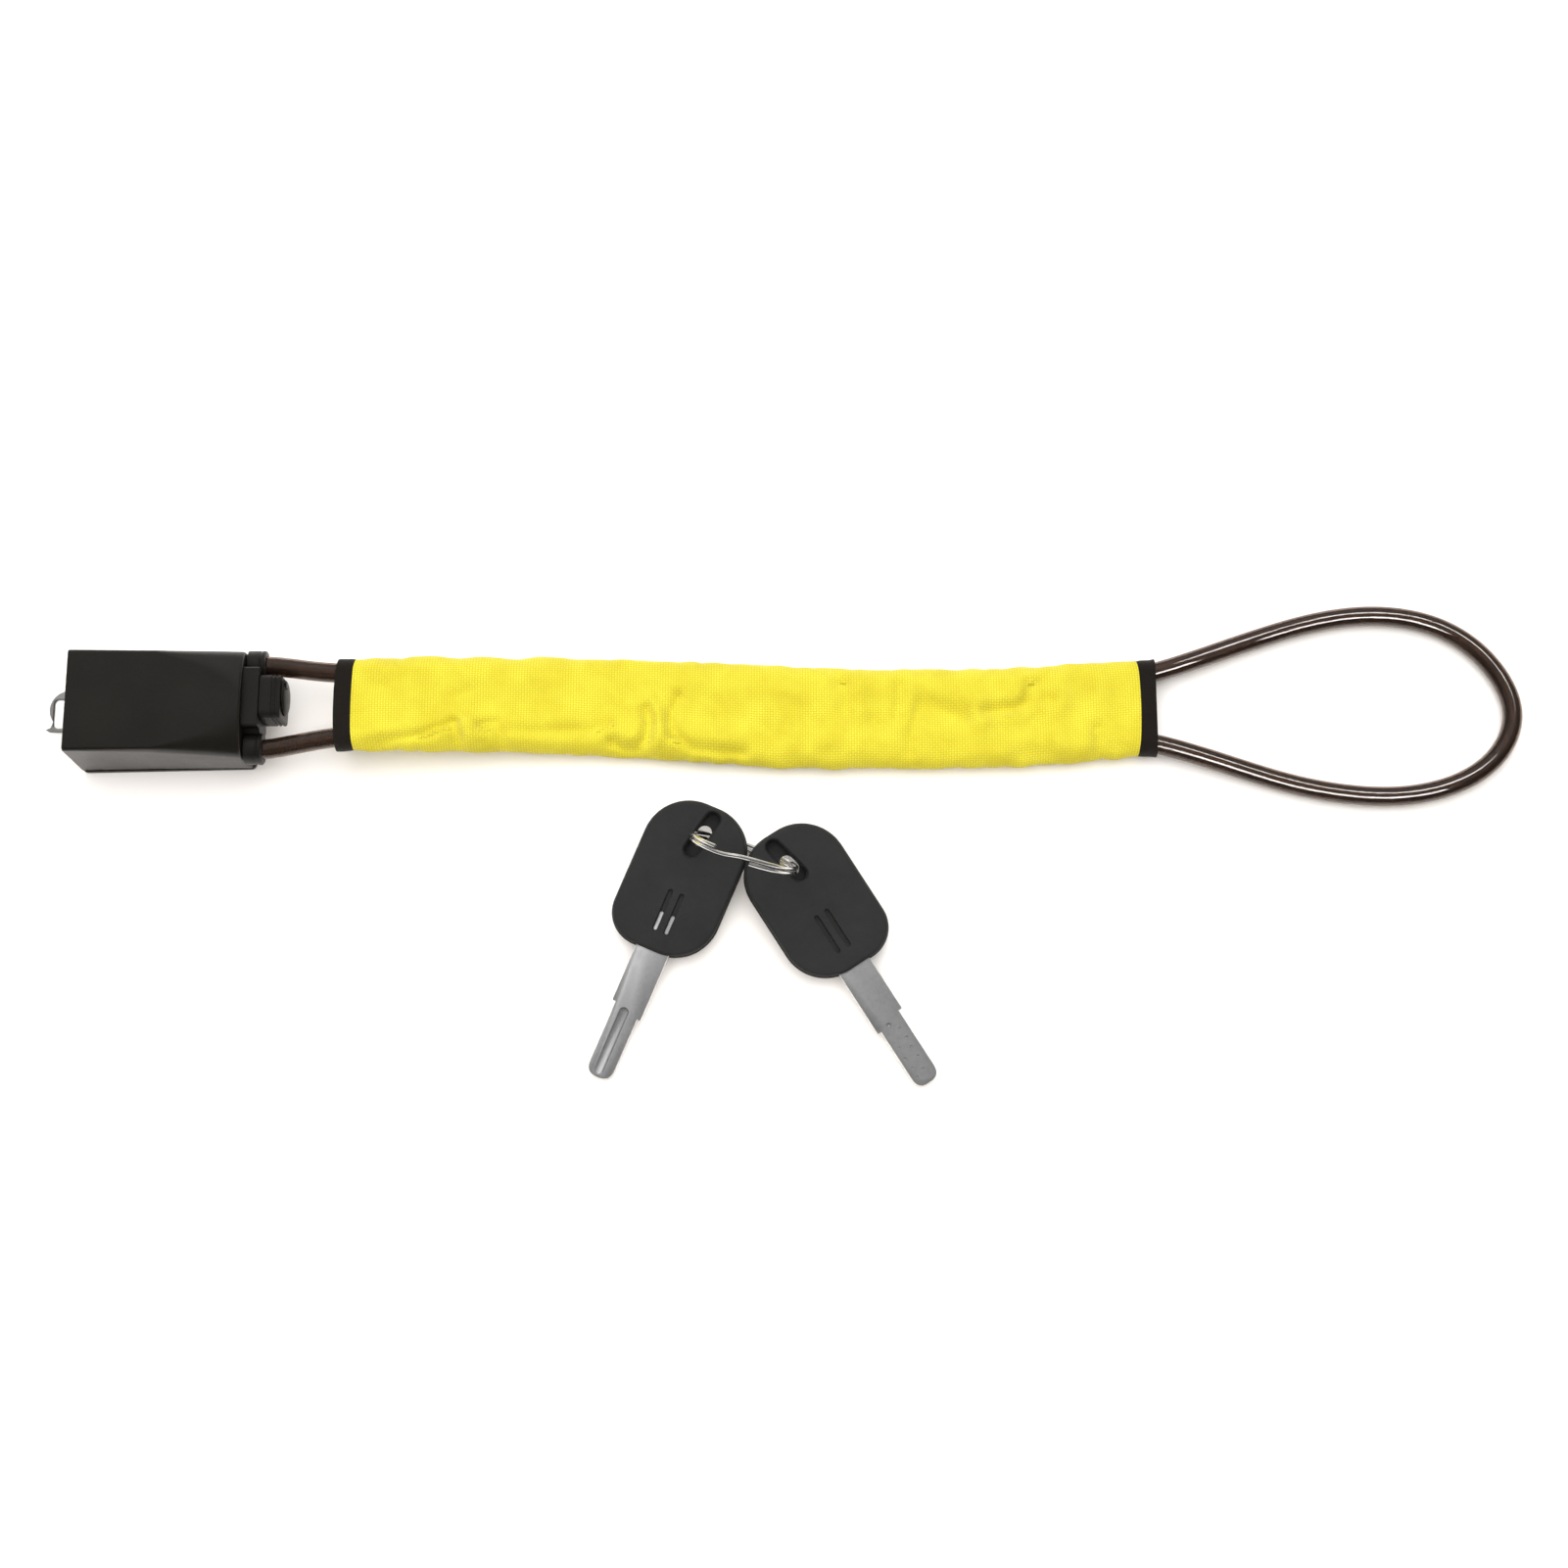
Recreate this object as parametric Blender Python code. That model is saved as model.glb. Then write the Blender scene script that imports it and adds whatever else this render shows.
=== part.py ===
"""Seat-belt-buckle steering wheel lock.

A die-cast head carries a belt tongue in its open mouth and a key cylinder in
its far end.  A PVC-jacketed steel rope leaves the head beside the cylinder,
runs through a woven sleeve, forms the loop that goes round the steering wheel
and comes back.  Two keys on a split ring lie beside it.

Units are millimetres in the design functions and metres in the meshes.
+X runs from the head to the loop, +Z is up, and the origin is the middle of
the head's underside.
"""
import math

import bmesh
import bpy
import numpy as np
from mathutils import Matrix, Vector

MM = 0.001
GAP = 0.35  # running and assembly clearance

# --- head ---------------------------------------------------------------
MOUTH_X = -37.0
END_X = 36.2
HEAD_H = 35.5
PARTING_Z = 3.25
HALF_BASE = 23.0
WALL = 1.9
CAVITY_END_X = -9.0
CHAMBER_X = -6.0
PLATE_T = 2.9
PLATE_X = (-37.2, 37.2)
PLATE_HALF_Y = 23.5
SCREW_XY = [(5.0, -17.3), (5.0, 17.3), (30.0, -17.3), (30.0, 17.3)]

# --- key cylinder -------------------------------------------------------
AXIS_Y, AXIS_Z = 2.5, 22.5
STATOR_R, BORE_R, PLUG_R = 8.0, 6.95, 6.6
STATOR_X = (16.3, 50.3)
PLUG_X = (17.2, 50.0)
KEYWAY_Y, KEYWAY_Z, KEYWAY_X = 1.75, 5.75, 19.6
WAFER_X = [24.5, 28.5, 32.5, 36.5, 40.5]
PUSH_STROKE = 5.0  # over a quarter turn
LEAD = PUSH_STROKE / (math.pi / 2)

# --- tongue -------------------------------------------------------------
TONGUE_Z = (10.0, 12.2)
TONGUE_Y = 0.75
RIVET_XY = [(1.5, 8.3), (1.5, -6.9), (12.5, 8.3), (12.5, -6.9)]

# --- cable --------------------------------------------------------------
CABLE_Y, CABLE_Z = 18.2, 21.5
ROPE_R, JACKET_R, JACKET_IN = 2.9, 4.2, 3.45
COLLAR_X, COLLAR_R = (36.6, 44.3), 6.6
SLEEVE_X = (80.8, 415.8)
BIND_HEAD_X = (73.6, 80.5)
BIND_LOOP_X = (416.1, 422.5)

# --- keys ---------------------------------------------------------------
BOW_W, BOW_T = 40.6, 6.0
BLADE_T = 2.4
BLADE_HALF, BLADE_ROOT = 5.05, 6.55
RING_WIRE_R, RING_STEP = 0.75, 1.85
KEY_SCALE = 1 / 0.9
KEY_ABOUT = Vector((246.64, -97.95, 0.0))
KEY_SHIFT = Vector((0.9, -0.7, 0.0))

for o in list(bpy.data.objects):
    bpy.data.objects.remove(o, do_unlink=True)
COLL = bpy.context.scene.collection


# ------------------------------------------------------------------ helpers
def material(name, rgb, rough, metal=0.0):
    m = bpy.data.materials.new(name)
    m.use_nodes = True
    b = m.node_tree.nodes["Principled BSDF"]
    b.inputs["Base Color"].default_value = (*rgb, 1)
    b.inputs["Roughness"].default_value = rough
    b.inputs["Metallic"].default_value = metal
    m.diffuse_color = (*rgb, 1)
    return m


def finish(name, bm, mat, angle=35, smooth=True):
    """A mesh object from a bmesh whose coordinates are millimetres."""
    bmesh.ops.remove_doubles(bm, verts=bm.verts, dist=1e-4)
    bmesh.ops.recalc_face_normals(bm, faces=bm.faces)
    bmesh.ops.scale(bm, vec=(MM, MM, MM), verts=bm.verts)
    me = bpy.data.meshes.new(name)
    bm.to_mesh(me)
    bm.free()
    me.materials.append(mat)
    if smooth:
        me.shade_smooth()
        me.set_sharp_from_angle(angle=math.radians(angle))
    ob = bpy.data.objects.new(name, me)
    COLL.objects.link(ob)
    return ob


def boolean(target, cutter_bm, op="DIFFERENCE"):
    """Applies one exact Boolean with a temporary cutter."""
    bmesh.ops.recalc_face_normals(cutter_bm, faces=cutter_bm.faces)
    bmesh.ops.scale(cutter_bm, vec=(MM, MM, MM), verts=cutter_bm.verts)
    me = bpy.data.meshes.new("cutter")
    cutter_bm.to_mesh(me)
    cutter_bm.free()
    cutter = bpy.data.objects.new("cutter", me)
    cutter.hide_render = True
    cutter.display_type = "WIRE"
    COLL.objects.link(cutter)
    cutter.matrix_world = target.matrix_world
    mod = target.modifiers.new("cut", "BOOLEAN")
    mod.operation, mod.object, mod.solver = op, cutter, "EXACT"
    deps = bpy.context.evaluated_depsgraph_get()
    deps.update()
    new = bpy.data.meshes.new_from_object(target.evaluated_get(deps))
    target.modifiers.remove(mod)
    old = target.data
    target.data = new
    new.name = target.name
    bpy.data.meshes.remove(old)
    bpy.data.objects.remove(cutter, do_unlink=True)
    bpy.data.meshes.remove(me)
    target.data.shade_smooth()
    target.data.set_sharp_from_angle(angle=math.radians(35))


def loft(rings, close=True, caps=True):
    """Skin through equal rings of (x, y, z)."""
    bm = bmesh.new()
    vs = [[bm.verts.new(p) for p in r] for r in rings]
    n = len(rings[0])
    last = len(rings) if not caps else len(rings) - 1
    for i in range(last if not caps else len(rings) - 1):
        a, b = vs[i], vs[(i + 1) % len(vs)]
        for j in range(n if close else n - 1):
            bm.faces.new((a[j], a[(j + 1) % n], b[(j + 1) % n], b[j]))
    if caps:
        bm.faces.new(vs[0])
        bm.faces.new(vs[-1])
    return bm


def prism(outline, lo, hi, axis="Z", bevel=0.0):
    """An outline of (a, b) extruded along an axis: Z takes (x, y), X takes (y, z)."""
    put = {"Z": lambda a, b, h: (a, b, h), "X": lambda a, b, h: (h, a, b), "Y": lambda a, b, h: (a, h, b)}[axis]
    if not bevel:
        return loft([[put(a, b, h) for a, b in outline] for h in (lo, hi)])
    small = inset(outline, bevel)
    return loft([[put(a, b, h) for a, b in o] for o, h in ((small, lo), (outline, lo + bevel), (outline, hi - bevel), (small, hi))])


def inset(outline, d):
    """The outline moved inward by d, each corner along its mitre."""
    p = np.array(outline, float)
    area = 0.5 * np.sum(p[:, 0] * np.roll(p[:, 1], -1) - np.roll(p[:, 0], -1) * p[:, 1])
    s = 1.0 if area > 0 else -1.0
    e0, e1 = p - np.roll(p, 1, 0), np.roll(p, -1, 0) - p
    e0 /= np.linalg.norm(e0, axis=1)[:, None]
    e1 /= np.linalg.norm(e1, axis=1)[:, None]
    n0 = np.stack([-e0[:, 1], e0[:, 0]], 1) * s
    n1 = np.stack([-e1[:, 1], e1[:, 0]], 1) * s
    m = n0 + n1
    m /= np.maximum((m * n0).sum(1), 0.2)[:, None]
    return [tuple(q) for q in p + m * d]


def rounded_rect(x0, x1, y0, y1, r, n=4):
    r = [r] * 4 if not isinstance(r, (list, tuple)) else r
    out = []
    for (cx, cy, a), q in zip(((x1, y1, 0), (x0, y1, 90), (x0, y0, 180), (x1, y0, 270)), r):
        ox = cx - q if cx == x1 else cx + q
        oy = cy - q if cy == y1 else cy + q
        for k in range(n + 1):
            t = math.radians(a + 90 * k / n)
            out.append((ox + q * math.cos(t), oy + q * math.sin(t)))
    return out


def circle(r, n, cx=0.0, cy=0.0, a0=0.0):
    return [(cx + r * math.cos(a0 + 2 * math.pi * k / n), cy + r * math.sin(a0 + 2 * math.pi * k / n)) for k in range(n)]


def turned_x(profile, n, cy, cz):
    """A profile of (x, r) turned about the line y=cy, z=cz, closed on the axis or as a ring."""
    bm = bmesh.new()
    rows = []
    for x, r in profile:
        if r < 1e-6:
            rows.append([bm.verts.new((x, cy, cz))])
        else:
            rows.append([bm.verts.new((x, cy + r * math.cos(2 * math.pi * k / n), cz + r * math.sin(2 * math.pi * k / n))) for k in range(n)])
    ring = profile[0] == profile[-1]
    if ring:
        rows[-1] = rows[0]
    for a, b in zip(rows[:-1], rows[1:]):
        for k in range(n):
            j = (k + 1) % n
            if len(a) == 1 and len(b) == 1:
                continue
            if len(a) == 1:
                bm.faces.new((a[0], b[j], b[k]))
            elif len(b) == 1:
                bm.faces.new((a[k], a[j], b[0]))
            else:
                bm.faces.new((a[k], a[j], b[j], b[k]))
    return bm


def turned_z(profile, n, cx, cy, z_first=True):
    """A profile of (z, r) turned about a vertical line."""
    bm = turned_x([(z, r) for z, r in profile], n, 0, 0)
    for v in bm.verts:
        x, y, z = v.co
        v.co = (cx + y, cy + z, x)
    return bm


def ring_profile(x0, x1, r_in, r_out, c=0.0):
    p = [(x0, r_in), (x0, r_out - c), (x0 + c, r_out), (x1 - c, r_out), (x1, r_out - c), (x1, r_in), (x0, r_in)]
    return [q for i, q in enumerate(p) if i == 0 or q != p[i - 1]]


def smooth_curve(points, step):
    """Evenly spaced points along a natural cubic curve through the route points."""
    p = np.array(points, float)
    t = np.concatenate([[0], np.cumsum(np.linalg.norm(np.diff(p, axis=0), axis=1) ** 0.75)])
    n = len(p)
    h = np.diff(t)
    a = np.zeros((n, n))
    rhs = np.zeros((n, p.shape[1]))
    a[0, 0] = a[-1, -1] = 1
    for i in range(1, n - 1):
        a[i, i - 1], a[i, i], a[i, i + 1] = h[i - 1], 2 * (h[i - 1] + h[i]), h[i]
        rhs[i] = 6 * ((p[i + 1] - p[i]) / h[i] - (p[i] - p[i - 1]) / h[i - 1])
    m = np.linalg.solve(a, rhs)
    fine = []
    for i in range(n - 1):
        for s in np.linspace(0, 1, 40, endpoint=(i == n - 2)):
            x = s * h[i]
            A, B = 1 - s, s
            fine.append(A * p[i] + B * p[i + 1] + ((A**3 - A) * m[i] + (B**3 - B) * m[i + 1]) * h[i] ** 2 / 6)
    fine = np.array(fine)
    along = np.concatenate([[0], np.cumsum(np.linalg.norm(np.diff(fine, axis=0), axis=1))])
    count = max(2, int(round(along[-1] / step)) + 1)
    at = np.linspace(0, along[-1], count)
    return np.stack([np.interp(at, along, fine[:, k]) for k in range(p.shape[1])], 1), along[-1]


def tube_curve(name, points, r, mat, res=2, caps=True):
    """A round tube as a curve object with filled caps on a poly spline."""
    cu = bpy.data.curves.new(name, "CURVE")
    cu.dimensions = "3D"
    sp = cu.splines.new("POLY")
    sp.points.add(len(points) - 1)
    for q, p in zip(sp.points, points):
        q.co = (*(c * MM for c in p), 1)
    cu.bevel_depth = r * MM
    cu.bevel_resolution = res
    cu.use_fill_caps = caps
    cu.materials.append(mat)
    ob = bpy.data.objects.new(name, cu)
    COLL.objects.link(ob)
    return ob


# ---------------------------------------------------------------- materials
M_HEAD = material("head_paint", (0.035, 0.033, 0.030), 0.45)
M_PLATE = material("base_paint", (0.05, 0.047, 0.043), 0.5)
M_STEEL = material("steel", (0.62, 0.62, 0.60), 0.3, 1.0)
M_ZINC = material("zinc", (0.5, 0.5, 0.5), 0.42, 1.0)
M_BRASS = material("brass", (0.72, 0.55, 0.26), 0.32, 1.0)
M_BLACK = material("black_plastic", (0.022, 0.021, 0.02), 0.5)
M_BOW = material("bow_plastic", (0.03, 0.03, 0.03), 0.55)
M_ROPE = material("rope_steel", (0.45, 0.44, 0.42), 0.35, 1.0)
M_PVC = material("smoked_pvc", (0.045, 0.03, 0.025), 0.12)
M_YELLOW = material("yellow_webbing", (0.95, 0.78, 0.06), 0.75)
M_BIND = material("black_binding", (0.03, 0.025, 0.02), 0.85)
M_NICKEL = material("nickel", (0.66, 0.66, 0.65), 0.22, 1.0)


# --------------------------------------------------------------- the head
def top_half(x):
    """Half-width of the flat top: full at the mouth, closing to a point at the far end."""
    d = max(34.6 - x, 0.0)
    return max(1.6, min(20.35, 20.0 * (d / 33.0) ** 0.45))


def side_half(x, z, taper=1.6):
    """Half-width of the side wall at a height: draft at the mouth, fuller at the far end."""
    s = min(max((x + 10.0) / 46.0, 0.0), 1.0)
    s = s * s * (3 - 2 * s)
    low = taper * (x - MOUTH_X) / (END_X - MOUTH_X) * max(1 - z / 24.0, 0.0)
    return HALF_BASE - low + 0.75 * s * math.sin(math.pi * min(z / 30.0, 1.0)) - 1.1 * (1 - 0.7 * s) * z / HEAD_H


def head_section(x, inward=0.0, n=7):
    """The (y, z) outline of the head's upper shell at x."""
    t = (x - MOUTH_X) / (END_X - MOUTH_X)
    b = 1.6 + 7.6 * t**1.6
    w = top_half(x)
    half = [(side_half(x, PARTING_Z), PARTING_Z), (side_half(x, 10.0), 10.0), (side_half(x, 18.0), 18.0)]
    zc = HEAD_H - b
    hw = side_half(x, zc)
    for k in range(n + 1):
        a = math.pi / 2 * k / n
        half.append((w + (hw - w) * math.cos(a), zc + b * math.sin(a)))
    out = half + [(-y, z) for y, z in reversed(half)]
    if inward:
        out = inset(out, inward)
        out[0] = (out[0][0], PARTING_Z)
        out[-1] = (out[-1][0], PARTING_Z)
    return out


stations = [MOUTH_X, -22.0, -8.0, 2.0, 10.0, 17.0, 22.5, 27.0, 30.5, 33.0, 34.5, END_X - 0.8]
rings = [[(x, y, z) for y, z in head_section(x)] for x in stations]
rings[0] = [(MOUTH_X, y, z) for y, z in head_section(MOUTH_X, 0.35)]
rings.insert(1, [(MOUTH_X + 0.4, y, z) for y, z in head_section(MOUTH_X)])
rings.append([(END_X, y, z) for y, z in head_section(END_X - 0.8, 0.8)])
housing = finish("head_housing", loft(rings), M_HEAD)


def cut_box(x0, x1, y0, y1, z0, z1):
    return prism([(x0, y0), (x1, y0), (x1, y1), (x0, y1)], z0, z1)


# the mouth that goes over the belt buckle
mouth = [(side_half(-20, 1.0, 0.0) - WALL, 1.0), (side_half(-20, 32.0) - WALL, 32.2), (side_half(-20, 33.3) - WALL - 1.4, HEAD_H - WALL - 0.2)]
mouth = mouth + [(-y, z) for y, z in reversed(mouth)]
boolean(housing, prism(mouth, MOUTH_X - 2, CAVITY_END_X, "X"))
# the pocket over the base plate, where the tongue's shank lies, open to the mouth
boolean(housing, cut_box(CAVITY_END_X - 1, 33.0, -11.2, 11.7, 1.0, 12.55))
# pusher rod, spring chamber and cylinder bores
boolean(housing, turned_x([(CAVITY_END_X - 1, 0), (CAVITY_END_X - 1, 3.4), (CHAMBER_X, 3.4), (CHAMBER_X, 7.6), (16.0, 7.6), (16.0, STATOR_R + GAP), (END_X + 1, STATOR_R + GAP), (END_X + 1, 0)], 24, AXIS_Y, AXIS_Z))
for s in (1, -1):
    boolean(housing, turned_x([(20.0, 0), (20.0, 4.4), (END_X + 1, 4.4), (END_X + 1, 0)], 16, s * CABLE_Y, CABLE_Z))
for x, y in SCREW_XY:
    boolean(housing, turned_z([(1.0, 0), (1.0, 1.7), (13.0, 1.7), (13.6, 0)], 12, x, y))
for x, y in RIVET_XY:
    boolean(housing, turned_z([(11.0, 0), (11.0, 2.15), (16.6, 2.15), (16.6, 0)], 12, x, y))
# pinning holes that reach the cable ferrules, and the cylinder's grub screw
for s in (1, -1):
    boolean(housing, turned_z([(1.0, 0), (1.0, 1.55), (CABLE_Z - 3.2, 1.55), (CABLE_Z - 3.2, 0)], 12, 24.0, s * CABLE_Y))
boolean(housing, turned_z([(11.0, 0), (11.0, 1.85), (16.0, 1.85), (16.0, 0)], 12, 26.0, AXIS_Y))

# the base plate, a flat cover with a small ledge round the head
plate_outline = [(x, y * (1 - 0.068 * (x - PLATE_X[0]) / (PLATE_X[1] - PLATE_X[0]))) for x, y in rounded_rect(PLATE_X[0], PLATE_X[1], -PLATE_HALF_Y, PLATE_HALF_Y, 2.4, 3)]
plate = finish("head_base_plate", prism(plate_outline, 0.0, PLATE_T, bevel=0.45), M_PLATE)
for x, y in SCREW_XY:
    boolean(plate, turned_z([(-1.0, 0), (-1.0, 3.3), (0.35, 3.1), (1.9, 1.7), (4.0, 1.7), (4.0, 0)], 12, x, y))
for i, (x, y) in enumerate(SCREW_XY):
    screw = finish(f"base_screw_{i + 1}", turned_z([(0.3, 0), (0.3, 2.6), (0.6, 2.65), (2.0, 1.3), (12.4, 1.3), (12.9, 0.8), (12.9, 0)], 12, x, y), M_STEEL)
    boolean(screw, prism(circle(1.25, 6, x, y), -0.5, 1.3))

# ------------------------------------------------------------- the tongue
def tongue_outline():
    """Plan of the steel tongue: an arched nose with a pointed foot, and a straight shank."""
    pts = [(17.0, -8.6), (17.0, 10.1), (-44.0, 10.1)]
    for k in range(9):  # the arched nose from the upper leg to the lower one
        a = math.radians(100 + 118 * k / 8)
        pts.append((-41.6 + 9.0 * math.cos(a) * (0.94 + 0.06 * abs(math.sin(a))), 1.6 + 9.1 * math.sin(a)))
    pts += [(-49.2, -6.3), (-51.3, -7.3), (-49.4, -8.4), (-46.0, -8.6)]
    return pts


tongue = finish("tongue_plate", prism(tongue_outline(), TONGUE_Z[0], TONGUE_Z[1]), M_STEEL, smooth=False)
boolean(tongue, prism(rounded_rect(-47.9, -31.0, -6.4, 5.9, 1.8, 3), 5, 15))
for x, y in RIVET_XY:
    boolean(tongue, turned_z([(5, 0), (5, 2.15), (15, 2.15), (15, 0)], 12, x, y))
for i, (x, y) in enumerate(RIVET_XY):
    finish(f"tongue_rivet_{i + 1}", turned_z([(8.4, 0), (8.4, 2.2), (8.9, 3.2), (9.65, 3.2), (9.65, 1.8), (16.2, 1.8), (16.2, 0)], 14, x, y), M_STEEL)

# ------------------------------------------------- cylinder, cam and pusher
N_ROUND = 24
stator = finish("lock_cylinder", turned_x(ring_profile(STATOR_X[0], STATOR_X[1], BORE_R, STATOR_R, 0.4), N_ROUND, AXIS_Y, AXIS_Z), M_BRASS)
boolean(stator, turned_z([(10, 0), (10, 1.5), (14.95, 1.5), (14.95, 0)], 12, 26.0, AXIS_Y))

plug = finish(
    "cylinder_plug",
    turned_x([(11.3, 0), (11.3, 2.6), (11.7, 3.0), (12.0, 3.0), (12.0, 2.4), (12.8, 2.4), (12.8, 3.0), (PLUG_X[0], 3.0), (PLUG_X[0], PLUG_R), (PLUG_X[1] - 0.4, PLUG_R), (PLUG_X[1], PLUG_R - 0.4), (PLUG_X[1], 0)], N_ROUND, AXIS_Y, AXIS_Z),
    M_BRASS,
)
boolean(plug, prism([(AXIS_Y - KEYWAY_Y, AXIS_Z - KEYWAY_Z), (AXIS_Y + KEYWAY_Y, AXIS_Z - KEYWAY_Z), (AXIS_Y + KEYWAY_Y, AXIS_Z + KEYWAY_Z), (AXIS_Y - KEYWAY_Y, AXIS_Z + KEYWAY_Z)], KEYWAY_X, 60, "X"))
for x in WAFER_X:
    boolean(plug, cut_box(x - 0.85, x + 0.85, AXIS_Y - 3.5, AXIS_Y + 3.5, AXIS_Z - 10, AXIS_Z + 10))


def wafer_outline():
    """The wafer's rim, an arc of the plug's round cut off at both sides."""
    r, y = 6.3, 3.1
    a0 = math.acos(y / r)
    up = [(r * math.cos(a0 + (math.pi - 2 * a0) * k / 6), r * math.sin(a0 + (math.pi - 2 * a0) * k / 6)) for k in range(7)]
    return up + [(-a, -b) for a, b in up]


for i, x in enumerate(WAFER_X):
    w = finish(f"tumbler_wafer_{i + 1}", prism([(AXIS_Y + a, AXIS_Z + b) for a, b in wafer_outline()], x - 0.5, x + 0.5, "X"), M_BRASS, smooth=False)
    boolean(w, prism([(AXIS_Y - 1.8, AXIS_Z - 5.65), (AXIS_Y + 1.8, AXIS_Z - 5.65), (AXIS_Y + 1.8, AXIS_Z + 5.65), (AXIS_Y - 1.8, AXIS_Z + 5.65)], x - 3, x + 3, "X"))


def tooth(a, b, x_root, x_face, r_in, r_out, n):
    """A curved tooth between two angles (degrees), from x_root to the helical face."""
    rings = []
    for k in range(n + 1):
        deg = a + (b - a) * k / n
        t = math.radians(deg)
        xf = x_face(deg)
        rings.append([(x, AXIS_Y + r * math.cos(t), AXIS_Z + r * math.sin(t)) for x, r in ((x_root, r_in), (x_root, r_out), (xf, r_out), (xf, r_in))])
    return loft(rings)


# the drive cam: two helical ramps that climb towards -X as the angle falls
CAM_FACE = 13.4
cam = finish("drive_cam", turned_x(ring_profile(CAM_FACE, 15.8, 3.35, PLUG_R), N_ROUND, AXIS_Y, AXIS_Z), M_ZINC)

def cam_face(deg):
    return CAM_FACE - 0.2 - LEAD * math.radians(22.0 - deg)


for turn in (0, 180):
    boolean(cam, tooth(22.0 + turn, -100.0 + turn, 14.4, lambda d, turn=turn: cam_face(d - turn), 5.0, PLUG_R - 0.05, 14), "UNION")

# the pusher: a rod through the partition, a flange, and two lugs that ride on the ramps
FLANGE_X = (3.7, 5.5)
pusher = finish(
    "release_pusher",
    turned_x([(-15.0, 0), (-15.0, 2.2), (-14.2, 3.0), (FLANGE_X[0], 3.0), (FLANGE_X[0], 7.2), (FLANGE_X[1], 7.2), (FLANGE_X[1], 0)], N_ROUND, AXIS_Y, AXIS_Z),
    M_ZINC,
)
for turn in (0, 180):
    boolean(pusher, tooth(14.0 + turn, -6.0 + turn, 4.6, lambda d, turn=turn: cam_face(d - turn) - 0.4, 5.05, PLUG_R - 0.05, 4), "UNION")

# return spring round the rod
spring_pts = []
turns, per = 4.0, 11
for k in range(int(turns * per) + 1):
    t = 2 * math.pi * k / per
    spring_pts.append((CHAMBER_X + 0.95 + (FLANGE_X[0] - CHAMBER_X - 1.9) * k / (turns * per), AXIS_Y + 5.2 * math.cos(t), AXIS_Z + 5.2 * math.sin(t)))
tube_curve("pusher_spring", spring_pts, 0.55, M_STEEL, 2)

# a C-clip in the plug's tail keeps the cam on
clip = [(4.4 * math.cos(math.radians(a)), 4.4 * math.sin(math.radians(a))) for a in range(35, 326, 29)] + [(2.75 * math.cos(math.radians(a)), 2.75 * math.sin(math.radians(a))) for a in range(325, 34, -29)]
finish("cylinder_clip", prism([(AXIS_Y + a, AXIS_Z + b) for a, b in clip], 12.1, 12.7, "X"), M_STEEL, smooth=False)

grub = finish("cylinder_grub_screw", turned_z([(12.9, 0), (12.9, 1.2), (13.2, 1.45), (14.6, 1.1), (14.6, 0)], 12, 26.0, AXIS_Y), M_STEEL)

# ------------------------------------------------------ end block and shroud
boss_outline = [(-13.05, 16.5), (-13.05, 24.8), (-10.3, 26.6), (-10.3, 31.1), (-9.5, 31.9), (14.6, 31.9), (15.3, 31.2), (15.3, 27.0), (13.0, 26.9), (13.0, 13.8), (12.0, 12.8), (-9.3, 12.8), (-10.3, 13.8)]
boss = finish("cylinder_boss", prism(boss_outline, END_X + GAP, 42.8, "X", bevel=0.3), M_BLACK)
boolean(boss, turned_x([(30, 0), (30, STATOR_R + GAP), (50, STATOR_R + GAP), (50, 0)], N_ROUND, AXIS_Y, AXIS_Z))
for s in (1, -1):  # hollows for the cable collars
    boolean(boss, turned_x([(35, 0), (35, COLLAR_R + GAP), (44, COLLAR_R + GAP), (44, 0)], N_ROUND, s * 18.1, CABLE_Z))

SH_X = (43.15, 52.2)
sh = rounded_rect(AXIS_Y - 8.95, AXIS_Y + 9.65, 13.2, 31.9, [2.8, 2.8, 2.2, 2.2], 3)
rings = []
groove = inset(sh, 0.35)
lip = inset(sh, 0.5)
for x, o in ((SH_X[0], lip), (SH_X[0] + 0.5, sh), (48.3, sh), (48.5, groove), (49.1, groove), (49.3, sh), (49.9, sh), (50.1, groove), (50.7, groove), (50.9, sh), (SH_X[1] - 0.4, sh), (SH_X[1], lip)):
    rings.append([(x, y, z) for y, z in o])
shroud = finish("cylinder_shroud", loft(rings), M_BLACK)
boolean(shroud, turned_x([(40, 0), (40, STATOR_R + GAP), (50.6, STATOR_R + GAP), (50.6, 6.2), (54, 6.2), (54, 0)], N_ROUND, AXIS_Y, AXIS_Z))

# the swinging keyway cover and its pin
PIN = (AXIS_Y + 5.7, AXIS_Z + 5.7)
COVER = (3.6, 23.9)


def cover_outline(shrink):
    """The hull of the cover's disc and the lobe round its pin."""
    pts = circle(7.4 - shrink, 24, *COVER) + circle(max(2.5 - shrink, 0.4), 12, *PIN)
    pts = sorted(set((round(a, 6), round(b, 6)) for a, b in pts))

    def half(seq):
        out = []
        for p in seq:
            while len(out) > 1 and (out[-1][0] - out[-2][0]) * (p[1] - out[-2][1]) - (out[-1][1] - out[-2][1]) * (p[0] - out[-2][0]) <= 1e-9:
                out.pop()
            out.append(p)
        return out[:-1]

    return half(pts) + half(reversed(pts))


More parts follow.
